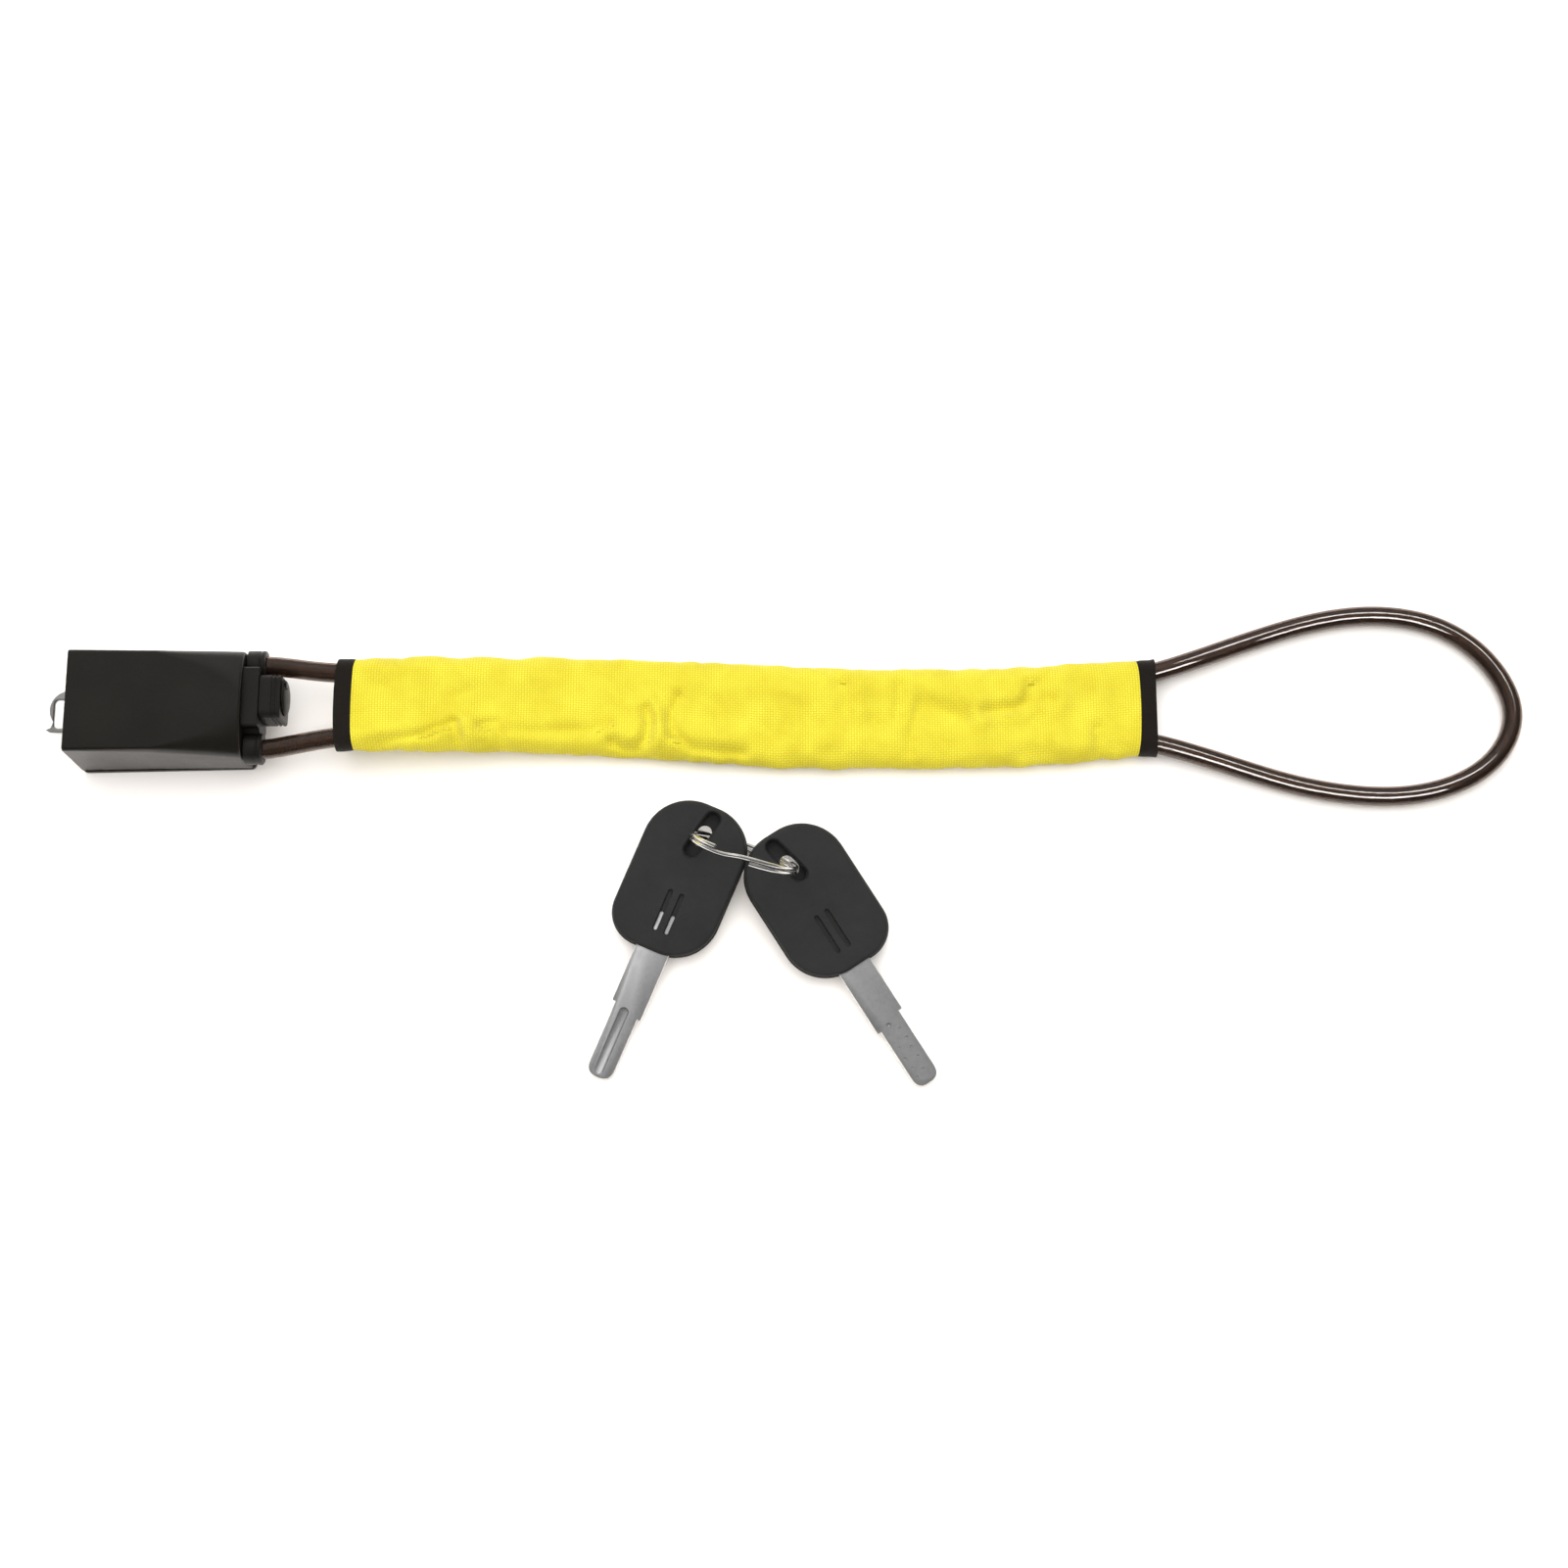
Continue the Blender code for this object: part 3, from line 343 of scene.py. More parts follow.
def painted(name, dark, light, rough, grain=1500.0, bump=0.12, spec=0.5, edge_wear_and_highlight=(0.16, 0.15, 0.14)):
    """Satin powder coat: fine orange peel, faint cloudiness, and lighter edges that are partly rubbed paint and partly
    a painted edge highlight.
    """
    n = Nodes(name)
    cloud = n.noise(38.0, 4.0)
    fine = n.noise(grain, 2.0, 0.5)
    base = n.ramp(cloud, [(0.3, dark), (0.7, light)])
    # painted highlight and wear: sharp edges are lightened in patches toward the light edge colour, standing in for
    # thin edge highlights as well as rubbed paint
    edge_wear_and_highlight_mask = n.span(n.edges(), 0.535, 0.60, 0.0, 0.7)
    edge_wear_and_highlight_mask = n.math("MULTIPLY", edge_wear_and_highlight_mask, n.span(n.noise(420.0, 3.0), 0.42, 0.66, 0.0, 1.0))
    n.put(n.mix(edge_wear_and_highlight_mask, base, edge_wear_and_highlight), "Base Color")
    r = n.math("ADD", n.span(cloud, 0.3, 0.7, rough - 0.03, rough + 0.04), n.span(fine, 0.3, 0.7, -0.02, 0.03))
    n.put(r, "Roughness")
    peel = n.bump(fine, bump, 0.0004)
    n.put(n.bump(n.noise(260.0, 2.0), 0.05, 0.001, peel), "Normal")
    n.set(Specular_IOR_Level=spec)
    return n.m


def moulded(name, dark, light, rough, grain=2600.0, bump=0.25, spec=0.4):
    """Matte moulded plastic with a spark-eroded grain."""
    n = Nodes(name)
    cells = n.voronoi(grain)
    soft = n.noise(grain * 0.45, 3.0, 0.6)
    cloud = n.noise(55.0, 3.0)
    base = n.ramp(n.math("ADD", n.math("MULTIPLY", cloud, 0.6), n.math("MULTIPLY", soft, 0.4)), [(0.32, dark), (0.68, light)])
    n.put(base, "Base Color")
    n.put(n.span(soft, 0.3, 0.7, rough - 0.05, rough + 0.06), "Roughness")
    n.put(n.bump(n.math("ADD", cells, soft), bump, 0.00025), "Normal")
    n.set(Specular_IOR_Level=spec)
    return n.m


def metal(name, dark, light, rough, along=(40.0, 1800.0, 1800.0), bump=0.1, cloud_scale=60.0):
    """Plated or drawn metal: fine lines along one axis and faint staining."""
    n = Nodes(name)
    lines = n.noise(1.0, 4.0, 0.6, n.mapped(along))
    cloud = n.noise(cloud_scale, 4.0, 0.6)
    n.put(n.ramp(n.math("ADD", n.math("MULTIPLY", lines, 0.5), n.math("MULTIPLY", cloud, 0.5)), [(0.34, dark), (0.66, light)]), "Base Color")
    n.put(n.math("ADD", n.span(lines, 0.3, 0.7, rough - 0.05, rough + 0.07), n.span(cloud, 0.35, 0.7, -0.03, 0.05)), "Roughness")
    n.put(n.bump(lines, bump, 0.0002), "Normal")
    n.set(Metallic=1.0)
    return n.m


def woven(name, base, shade, thread, weft, rough=0.85, bump=0.5, sheen=0.25, cloud=0.06, tint=(1, 1, 1)):
    """Plain-woven cloth on a map in metres: threads pass over and under each other; the gaps between threads are
    painted darker as shade, and random blotches of painted shade stand in for the shading of soft folds.
    """
    n = Nodes(name)
    _, u, v = n.uv()
    su = n.math("SINE", n.math("MULTIPLY", u, math.pi / thread))
    sv = n.math("SINE", n.math("MULTIPLY", v, math.pi / weft))
    over = n.math("GREATER_THAN", n.math("MULTIPLY", su, sv), 0.0)
    au, av = n.math("ABSOLUTE", su), n.math("ABSOLUTE", sv)
    h = n.math("ADD", n.math("MULTIPLY", over, au), n.math("MULTIPLY", n.math("SUBTRACT", 1.0, over), n.math("MULTIPLY", av, 0.85)))
    fuzz = n.noise(5200.0, 2.0, 0.6)
    soft = n.noise(70.0, 4.0, 0.55)
    height = n.math("ADD", n.math("POWER", h, 0.6), n.math("MULTIPLY", fuzz, 0.25))
    # painted shade: the colour falls to the shade colour in the gaps between threads and where a thread passes under
    col = n.mix(n.span(h, 0.2, 0.9, 0.0, 1.0), shade, base)
    # painted shade: soft random blotches toward the shade colour stand in for the shading of folds
    col = n.mix(n.span(soft, 0.35, 0.65, 0.0, cloud * 3), col, shade)
    n.put(col, "Base Color")
    n.put(n.span(fuzz, 0.3, 0.7, rough - 0.05, min(rough + 0.08, 1.0)), "Roughness")
    n.put(n.bump(height, bump, thread * 0.22), "Normal")
    n.set(Sheen_Weight=sheen, Sheen_Roughness=0.45, Sheen_Tint=(*tint, 1), Specular_IOR_Level=0.25)
    return n.m


HEAD = painted("head_coat", (0.0046, 0.0037, 0.0026), (0.0064, 0.0053, 0.0038), 0.35, spec=0.39)
PLATE = painted("plate_coat", (0.0070, 0.0058, 0.0044), (0.0098, 0.0084, 0.0065), 0.44, spec=0.33)
STEEL = metal("tongue_steel", (0.50, 0.50, 0.48), (0.70, 0.70, 0.68), 0.30)
ZINC = metal("cast_zinc", (0.36, 0.36, 0.36), (0.50, 0.50, 0.50), 0.46, along=(900.0, 900.0, 900.0))
DARK_STEEL = metal("blackened_steel", (0.030, 0.029, 0.028), (0.060, 0.058, 0.056), 0.38)
BRASS = metal("turned_brass", (0.58, 0.42, 0.18), (0.74, 0.56, 0.27), 0.30, along=(1800.0, 60.0, 60.0))
BLACK = moulded("end_moulding", (0.0042, 0.0035, 0.0027), (0.0068, 0.0059, 0.0046), 0.42, spec=0.34)
BOW = moulded("bow_moulding", (0.0128, 0.0128, 0.0128), (0.0182, 0.0182, 0.0182), 0.60, grain=2400.0, bump=0.40, spec=0.28)
NICKEL = metal("ring_nickel", (0.58, 0.58, 0.57), (0.78, 0.78, 0.77), 0.18, along=(300.0, 300.0, 300.0), bump=0.05)
BLADE = metal("blade_nickel", (0.72, 0.72, 0.72), (0.82, 0.82, 0.815), 0.38, along=(420.0, 420.0, 420.0), bump=0.06, cloud_scale=700.0)
# the sleeve's cloud value sets how strongly random blotches of painted shade darken it
YELLOW = woven("sleeve_weave", (0.705, 0.628, 0.0480), (0.440, 0.355, 0.0095), 0.00115, 0.00100, bump=0.75, cloud=0.14, tint=(1.0, 0.95, 0.6))
TAPE = woven("binding_tape", (0.0100, 0.0075, 0.0052), (0.0036, 0.0027, 0.0020), 0.0008, 0.0006, rough=0.8, bump=0.6, sheen=0.05)


def rope_material():
    """Steel strands: each strand is drawn wire, with its colour painted dark in the grooves between wires as shade."""
    n = Nodes("rope_strands")
    _, u, v = n.uv()
    wires = n.math("SINE", n.math("ADD", n.math("MULTIPLY", u, 2 * math.pi / 0.0014), n.math("MULTIPLY", v, 2 * math.pi * 22.0)))
    # painted shade: the colour runs from near black in the grooves between wires to bright steel on their crowns
    n.put(n.ramp(n.span(wires, -1.0, 1.0, 0.0, 1.0), [(0.0, (0.025, 0.02, 0.018)), (1.0, (0.62, 0.56, 0.50))]), "Base Color")
    n.put(n.span(n.noise(900.0), 0.3, 0.7, 0.24, 0.40), "Roughness")
    n.put(n.bump(wires, 0.4, 0.00012), "Normal")
    n.set(Metallic=1.0)
    return n.m


def jacket_material():
    """Clear PVC tinted dark brown, with faint ripples from extrusion."""
    n = Nodes("jacket_pvc")
    cloud = n.noise(60.0, 3.0)
    n.put(n.ramp(cloud, [(0.3, (0.135, 0.088, 0.062)), (0.7, (0.170, 0.112, 0.082))]), "Base Color")
    n.put(n.span(n.noise(500.0, 3.0), 0.3, 0.7, 0.05, 0.09), "Roughness")
    n.put(n.bump(n.noise(45.0, 1.0), 0.02, 0.0004), "Normal")
    n.set(Transmission_Weight=0.95, IOR=1.42, Specular_IOR_Level=0.5)
    return n.m


ROPE, JACKET = rope_material(), jacket_material()

# ----------------------------------------------------------------- cable
CABLE_Y, CABLE_Z = 18.2, 21.5
ROPE_R, JACKET_R, JACKET_IN = 2.9, 4.2, 3.45
ROUTE = [
    (21.4, 18.2), (33.0, 18.2), (44.0, 18.2), (52.0, 17.6), (62.0, 16.4), (74.0, 15.5), (92.0, 15.2), (120.0, 14.8), (150.0, 14.6),
    (185.0, 14.3), (220.0, 13.1), (260.0, 11.0), (300.0, 10.2), (340.0, 9.9), (370.0, 10.5), (395.0, 13.4), (412.0, 17.0),
    (428.8, 21.5), (456.3, 31.2), (483.8, 40.3), (505.0, 44.8), (524.8, 45.5), (545.0, 41.2), (561.0, 31.6), (572.0, 18.0),
    (576.6, 2.4), (571.2, -13.4), (558.5, -25.0), (541.0, -32.0), (520.4, -34.5), (500.0, -33.0), (480.5, -29.1), (454.1, -21.1),
    (427.6, -13.3), (411.0, -10.0), (394.0, -8.9), (370.0, -10.2), (340.0, -11.6), (300.0, -12.0), (260.0, -10.8), (220.0, -8.3),
    (185.0, -6.9), (150.0, -7.3), (120.0, -8.6), (92.0, -10.8), (74.0, -12.7), (62.0, -14.9), (52.0, -17.0), (44.0, -18.2),
    (33.0, -18.2), (21.4, -18.2),
]


def smooth_curve(points, step):
    p = np.array(points, float)
    t = np.concatenate([[0], np.cumsum(np.linalg.norm(np.diff(p, axis=0), axis=1) ** 0.75)])
    n = len(p)
    h = np.diff(t)
    a = np.zeros((n, n))
    rhs = np.zeros((n, p.shape[1]))
    a[0, 0] = a[-1, -1] = 1
    for i in range(1, n - 1):
        a[i, i - 1], a[i, i], a[i, i + 1] = h[i - 1], 2 * (h[i - 1] + h[i]), h[i]
        rhs[i] = 6 * ((p[i + 1] - p[i]) / h[i] - (p[i] - p[i - 1]) / h[i - 1])
    m = np.linalg.solve(a, rhs)
    fine = []
    for i in range(n - 1):
        for s in np.linspace(0, 1, 40, endpoint=(i == n - 2)):
            A, B = 1 - s, s
            fine.append(A * p[i] + B * p[i + 1] + ((A**3 - A) * m[i] + (B**3 - B) * m[i + 1]) * h[i] ** 2 / 6)
    fine = np.array(fine)
    along = np.concatenate([[0], np.cumsum(np.linalg.norm(np.diff(fine, axis=0), axis=1))])
    count = max(2, int(round(along[-1] / step)) + 1)
    at = np.linspace(0, along[-1], count)
    return np.stack([np.interp(at, along, fine[:, k]) for k in range(p.shape[1])], 1)


def ease(x, x0, x1):
    t = min(max((x - x0) / (x1 - x0), 0.0), 1.0)
    return t * t * (3 - 2 * t)


def cable_height(x):
    return CABLE_Z + (6.5 - CABLE_Z) * ease(x, 48.0, 212.0) + (4.3 - 6.5) * ease(x, 424.0, 476.0)


plan = smooth_curve(ROUTE, 1.0)
LINE = np.array([(x, y, cable_height(x)) for x, y in plan])
for k in range(3):  # round off the joins between route pieces
    LINE[1:-1] = 0.25 * LINE[:-2] + 0.5 * LINE[1:-1] + 0.25 * LINE[2:]


def part_of(line, x_from, upper_first=True):
    """The line between its two crossings of x = x_from."""
    s = np.concatenate([[0], np.cumsum(np.linalg.norm(np.diff(line, axis=0), axis=1))])
    mid = len(line) // 2
    a = float(np.interp(x_from, line[:60, 0], s[:60]))
    tail = line[-60:][::-1]
    b = float(np.interp(x_from, tail[:, 0], s[-60:][::-1]))
    return s, a, b


def resample(line, step, x_from):
    s, a, b = part_of(line, x_from)
    n = int(round((b - a) / step)) + 1
    at = np.linspace(a, b, n)
    return np.stack([np.interp(at, s, line[:, k]) for k in range(3)], 1), b - a


def frames(path):
    """Tangent and two steady normals along a path."""
    t = np.gradient(path, axis=0)
    t /= np.linalg.norm(t, axis=1)[:, None]
    n1 = np.zeros_like(path)
    v = np.array([0.0, 0.0, 1.0])
    for i, d in enumerate(t):
        v = v - d * v.dot(d)
        v /= np.linalg.norm(v)
        n1[i] = v
    return t, n1, np.cross(t, n1)


def tube(name, path, radius, mat, body, replaces=(), inner=None, lobes=None, sides=32, angle=60):
    """A tube along a path in mm. lobes(phi, s) gives a radius; inner makes it hollow."""
    t, n1, n2 = frames(path)
    s = np.concatenate([[0], np.cumsum(np.linalg.norm(np.diff(path, axis=0), axis=1))])
    phi = 2 * math.pi * np.arange(sides) / sides
    bm = bmesh.new()
    uvl = bm.loops.layers.uv.new("UVMap")

    def grid(rad):
        rows = []
        for i in range(len(path)):
            r = lobes(phi, s[i]) if (lobes is not None and rad == radius) else np.full(sides, rad)
            p = path[i] + (np.cos(phi) * r)[:, None] * n1[i] + (np.sin(phi) * r)[:, None] * n2[i]
            rows.append([bm.verts.new(q * MM) for q in p])
        return rows

    def skin(rows, flip):
        for i in range(len(rows) - 1):
            for j in range(sides):
                k = (j + 1) % sides
                q = (rows[i][j], rows[i][k], rows[i + 1][k], rows[i + 1][j])
                w = ((s[i], j), (s[i], j + 1), (s[i + 1], j + 1), (s[i + 1], j))
                if flip:
                    q, w = q[::-1], w[::-1]
                f = bm.faces.new(q)
                for lp, (a, b) in zip(f.loops, w):
                    lp[uvl].uv = (a * MM, b / sides)

    outer = grid(radius)
    skin(outer, False)
    if inner is None:
        bm.faces.new(outer[0][::-1])
        bm.faces.new(outer[-1])
    else:
        ins = grid(inner)
        skin(ins, True)
        for a, b, flip in ((outer[0], ins[0], True), (outer[-1], ins[-1], False)):
            for j in range(sides):
                k = (j + 1) % sides
                q = (a[j], a[k], b[k], b[j])
                bm.faces.new(q[::-1] if flip else q)
    return piece(name, bm, mat, body, replaces, angle, scale=False)


STRANDS, LAY = 9, 27.0


def strand_radius(phi, s):
    half = math.pi / STRANDS
    q = np.mod(phi - 2 * math.pi * s / LAY, 2 * half) - half
    rc = 2.18
    rs = ROPE_R - rc
    reach = np.maximum(rs**2 - (rc * np.sin(q)) ** 2, 0.0)
    return rc * np.cos(q) + np.sqrt(reach)


rope_path, _ = resample(LINE, 1.25, 21.4)
rope = tube("cable_strands", rope_path, ROPE_R, ROPE, "head", ("cable_rope",), lobes=strand_radius, sides=63, angle=40)
jacket_path, jacket_len = resample(LINE, 2.0, 44.0)
jacket = tube("cable_cover", jacket_path, JACKET_R, JACKET, "head", ("cable_jacket",), inner=JACKET_IN, sides=40, angle=60)

# ------------------------------------------------------------ the sleeve
SLEEVE_X = (80.8, 415.8)
BIND_HEAD_X = (73.6, 80.5)
BIND_LOOP_X = (416.1, 422.5)
HALF_FLAT = [(70, 19.7), (90, 19.6), (140, 20.3), (200, 21.1), (250, 21.9), (320, 21.6), (380, 21.2), (410, 20.9), (424, 20.8)]
WRINKLES = [
    ([(85.3, -17.1), (98.4, -14.0), (111.5, -11.5), (121.2, -7.3)], 1.1, -0.70),
    ([(124.3, -5.9), (125.4, -12.2), (125.8, -18.6)], 1.1, -1.00),
    ([(129.0, -7.5), (131.9, -12.6)], 3.5, 0.90),
    ([(136.1, -7.2), (141.1, -5.9), (143.4, -10.5), (145.6, -16.7)], 1.2, -0.80),
    ([(147.8, -8.9), (160.0, -9.0), (171.2, -8.2), (182.4, -7.6), (189.1, -4.6)], 1.4, -0.50),
    ([(190.3, -12.7), (196.0, -15.5), (201.1, -15.5), (204.9, -10.8), (206.2, -4.4), (204.8, 1.5)], 1.3, -1.00),
    ([(199.1, 0.3), (199.3, -9.1)], 5.0, 0.70),
    ([(206.4, 8.5), (209.3, -0.8), (210.0, -9.0), (209.5, -18.3)], 1.6, 0.60),
    ([(218.3, 7.4), (216.1, 1.5), (215.0, -4.4), (216.8, -9.0)], 1.3, -0.70),
    ([(217.4, -10.2), (224.2, -15.4), (233.2, -16.2), (245.6, -17.2)], 1.5, -0.80),
    ([(128.2, 20.5), (131.4, 4.2), (130.1, -7.4)], 2.6, 0.40),
    ([(183.1, 16.4), (188.8, 13.6)], 2.0, -0.35),
    ([(195.5, 19.0), (201.7, 20.8)], 2.0, -0.40),
    ([(85.5, 8.5), (94.3, 8.8)], 2.0, -0.35),
    ([(125.3, 6.3), (129.6, 7.7)], 1.5, -0.35),
    ([(148.4, 13.0), (166.2, 16.0)], 4.0, 0.35),
    ([(227.4, 8.5), (236.5, 2.7), (238.8, -5.5)], 2.0, -0.40),
    ([(264.8, 5.9), (265.4, -1.2), (263.7, -9.5)], 1.6, -0.50),
    ([(269.4, 3.5), (273.4, -3.0)], 1.5, -0.40),
    ([(288.9, 11.9), (289.5, 2.3), (290.6, -1.2)], 1.9, -0.60),
    ([(313.1, 11.9), (312.4, 4.7), (311.8, -1.2)], 1.5, -0.50),
    ([(322.2, 4.1), (329.0, 1.8), (337.6, -0.6)], 2.8, -0.80),
    ([(319.8, -0.0), (318.0, -8.3), (316.8, -16.5)], 1.5, -0.50),
    ([(348.5, 0.6), (355.4, 1.8), (362.3, 2.3), (367.5, 5.3), (368.8, 11.9)], 1.4, -0.80),
    ([(349.5, -4.7), (361.0, -3.6)], 4.0, 0.40),
    ([(374.0, 14.2), (375.0, 7.1), (378.4, 5.9)], 1.6, -0.50),
    ([(397.5, -7.1), (397.8, -15.9)], 1.7, -0.70),
    ([(404.2, -14.2), (412.7, -15.4)], 1.8, -0.50),
    ([(279.6, -17.7), (285.9, -17.7)], 2.0, -0.50),
    ([(364.1, -17.7), (375.5, -17.7)], 2.0, -0.50),
    ([(284.4, 20.2), (286.9, 13.0)], 1.8, -0.40),
    ([(297.0, 15.4), (294.6, -1.2), (295.1, -15.4)], 2.4, 0.40),
    ([(345.3, 16.6), (345.9, -17.7)], 3.0, 0.45),
    ([(382.1, 15.4), (381.0, -5.9), (382.3, -20.1)], 2.6, 0.45),
    ([(255.7, -5.9), (259.1, -13.0)], 2.2, -0.40),
    ([(301.5, -3.6), (303.7, -5.9)], 2.0, -0.50),
]


def between(x, table):
    return float(np.interp(x, [t[0] for t in table], [t[1] for t in table]))


def route_at(x, side):
    h = len(LINE) // 2
    part = LINE[:h] if side > 0 else LINE[h:][::-1]
    part = part[: int(np.argmax(part[:, 0] > 440.0)) + 1]
    return float(np.interp(x, part[:, 0], part[:, 1])), float(np.interp(x, part[:, 0], part[:, 2]))


def wrinkle_field(x, y):
    """Height of the creases and swells at one point of the sleeve, in mm."""
    total = 0.0
    for pts, width, amp in WRINKLES:
        width = 0.7 + 1.15 * width
        xs = [p[0] for p in pts]
        if x < min(xs) - 4 * width or x > max(xs) + 4 * width:
            continue
        best = 1e9
        for (ax, ay), (bx, by) in zip(pts[:-1], pts[1:]):
            dx, dy = bx - ax, by - ay
            t = max(0.0, min(1.0, ((x - ax) * dx + (y - ay) * dy) / (dx * dx + dy * dy)))
            d = math.hypot(x - ax - t * dx, y - ay - t * dy)
            best = min(best, d)
        g = math.exp(-((best / width) ** 2))
        lip = math.exp(-(((best - 2.2 * width) / (1.1 * width)) ** 2))
        total += 2.3 * (amp * g - (0.35 * amp * lip if amp < 0 else 0.0))
    return total


def end_bow(x, v):
    """The bound ends bow outward in the middle, and the cloth follows them."""
    return 1.1 * v * v * (1 - ease(x, 83.0, 123.0)) - 1.3 * v * v * ease(x, 370.0, 413.0) * (1 - ease(x, 416.5, 421.5))


def oval_point(x, cy, cz, hw, hh, q):
    """A point of a flat oval; q runs 0..1 from the -Y edge over the top."""
    straight, arc = 2 * (hw - hh), math.pi * hh
    whole = 2 * (straight + arc)
    d = (q % 1.0) * whole
    if d < arc / 2:
        a = d / hh
        return cy - (hw - hh) - hh * math.cos(a), cz + hh * math.sin(a)
    d -= arc / 2
    if d < straight:
        return cy - (hw - hh) + d, cz + hh
    d -= straight
    if d < arc:
        a = math.pi / 2 - d / hh
        return cy + (hw - hh) + hh * math.cos(a), cz + hh * math.sin(a)
    d -= arc
    if d < straight:
        return cy + (hw - hh) - d, cz - hh
    d -= straight
    a = -math.pi / 2 - d / hh
    return cy - (hw - hh) + hh * math.cos(a), cz + hh * math.sin(a)


def cloth_tube(name, xs, wall, grow, height, mat, node, around, shaped):
    """A closed shell of cloth round both cables: an outer skin, an inner skin and two rims."""
    bm = bmesh.new()
    uvl = bm.loops.layers.uv.new("UVMap")
    skins = []
    for layer in (0, 1):
        rows = []
        for x in xs:
            (ya, za), (yb, zb) = route_at(x, 1), route_at(x, -1)
            cy, cz = (ya + yb) / 2, (za + zb) / 2
            hw = max(between(x, HALF_FLAT), (ya - yb) / 2 + JACKET_R + 1.25) + grow
            hh = height
            if shaped:
                hw += 0.75 * noise.noise(Vector((x / 26.0, 3.1, 0.0))) + 0.45 * noise.noise(Vector((x / 9.0, 7.7, 0.0)))
            row = []
            for j in range(around):
                y, z = oval_point(x, cy, cz, hw, hh, j / around)
                v = (y - cy) / hw
                if shaped:
                    up = (z - cz) / hh
                    # the cloth lies over the two cables and sinks between them and at its edges
                    rise = math.exp(-(((y - ya) / 5.6) ** 2)) + math.exp(-(((y - yb) / 5.6) ** 2))
                    sag = -0.75 * (1 - min(rise, 1.0))
                    swell = 1.0 * noise.noise(Vector((x / 31.0, y / 17.0, 1.5 + up))) + 0.28 * noise.noise(Vector((x / 11.0, y / 9.0, 4.5 + up)))
                    fade = ease(x, xs[0], xs[0] + 9.0) * (1 - ease(x, xs[-1] - 9.0, xs[-1]))
                    crease = wrinkle_field(x, y) if up > 0 else 0.0
                    bend = 0.5 * noise.noise(Vector((x / 19.0, y / 12.0, 6.5)))
                    fold = 1.8 * noise.noise(Vector((x / 7.5 + bend, y / 26.0, 9.0))) * max(0.0, 0.35 + noise.noise(Vector((x / 42.0, y / 30.0, 3.3))))
                    z += (sag + (swell + crease + fold) * fade) * (up if up > 0 else 0.35 * up)
                    for cable_y, cable_z in ((ya, za), (yb, zb)):
                        reach = (JACKET_R + 0.1) ** 2 - (y - cable_y) ** 2
                        if up > 0 and reach > 0:
                            z = max(z, cable_z + math.sqrt(reach) + wall + 0.15)
                    z = max(z, 0.35)
                    side = (1.7 * noise.noise(Vector((x / 25.0, 11.0 * math.copysign(1, v), 2.0))) + 0.8 * noise.noise(Vector((x / 10.0, 5.0 * math.copysign(1, v), 8.0)))) * fade * abs(v) ** 6
                    y += math.copysign(side, v) if abs(v) > 0.5 else 0.0
                p = Vector((x + end_bow(x, v), y, z))
                row.append(p)
            if layer:
                inner = []
                for j, p in enumerate(row):
                    a, b = row[j - 1], row[(j + 1) % around]
                    t = (b - a)
                    n = Vector((0.0, t.z, -t.y)).normalized()
                    if n.dot(p - Vector((p.x, cy, cz))) > 0:
                        n = -n
                    inner.append(p + n * wall)
                row = inner
            rows.append([bm.verts.new(p) for p in row])
        skins.append(rows)
    girth = 2 * (2 * 14.8 + math.pi * height)
    for layer, rows in enumerate(skins):
        for i in range(len(xs) - 1):
            for j in range(around):
                k = (j + 1) % around
                q = [rows[i][j], rows[i][k], rows[i + 1][k], rows[i + 1][j]]
                w = [(xs[i], j), (xs[i], j + 1), (xs[i + 1], j + 1), (xs[i + 1], j)]
                if layer:
                    q, w = q[::-1], w[::-1]
                f = bm.faces.new(q)
                for lp, (a, b) in zip(f.loops, w):
                    lp[uvl].uv = (a * MM, b / around * girth * MM)
    for i, flip in ((0, True), (len(xs) - 1, False)):
        for j in range(around):
            k = (j + 1) % around
            q = [skins[0][i][j], skins[0][i][k], skins[1][i][k], skins[1][i][j]]
            f = bm.faces.new(q[::-1] if flip else q)
            for lp in f.loops:
                lp[uvl].uv = (xs[i] * MM, j / around * girth * MM)
    return piece(name, bm, mat, "head", (node,), 70)


sleeve = cloth_tube("sleeve_cover", list(np.linspace(SLEEVE_X[0] - 0.1, SLEEVE_X[1] + 0.1, 330)), 0.8, 0.0, 6.35, YELLOW, "sleeve_fabric", 150, True)


def binding(name, x0, x1, grow, height, node):
    """Folded tape round the sleeve's end, fuller in its middle."""
    xs = list(np.linspace(x0, x1, 15))
    ob = cloth_tube(name, xs, 1.0, grow, height, TAPE, node, 110, False)
    mid = (x0 + x1) / 2
    half = (x1 - x0) / 2
    for v in ob.data.vertices:
        x = v.co.x / MM
        t = min(abs(x - mid) / (half + 0.8), 1.0)
        puff = 0.35 * (1 - t**4) + 0.12 * noise.noise(Vector((v.co.y / MM / 3.0, v.co.z / MM / 3.0, x / 2.5)))
        (ya, za), (yb, zb) = route_at(min(max(x, x0), x1), 1), route_at(min(max(x, x0), x1), -1)
        c = Vector((x * MM, (ya + yb) / 2 * MM, (za + zb) / 2 * MM))
        d = v.co - c
        d.x = 0
        if d.length > 1e-6 and abs(d.z) > 0.0045 or abs(d.y) > 0.017:
            v.co += d.normalized() * (puff - 0.25) * MM
            v.co.z = max(v.co.z, 0.15 * MM)
    return ob


bind_head = binding("sleeve_tape_head_end", *BIND_HEAD_X, 0.3, 6.5, "sleeve_binding_head_end")
bind_loop = binding("sleeve_tape_loop_end", *BIND_LOOP_X, 0.3, 6.3, "sleeve_binding_loop_end")

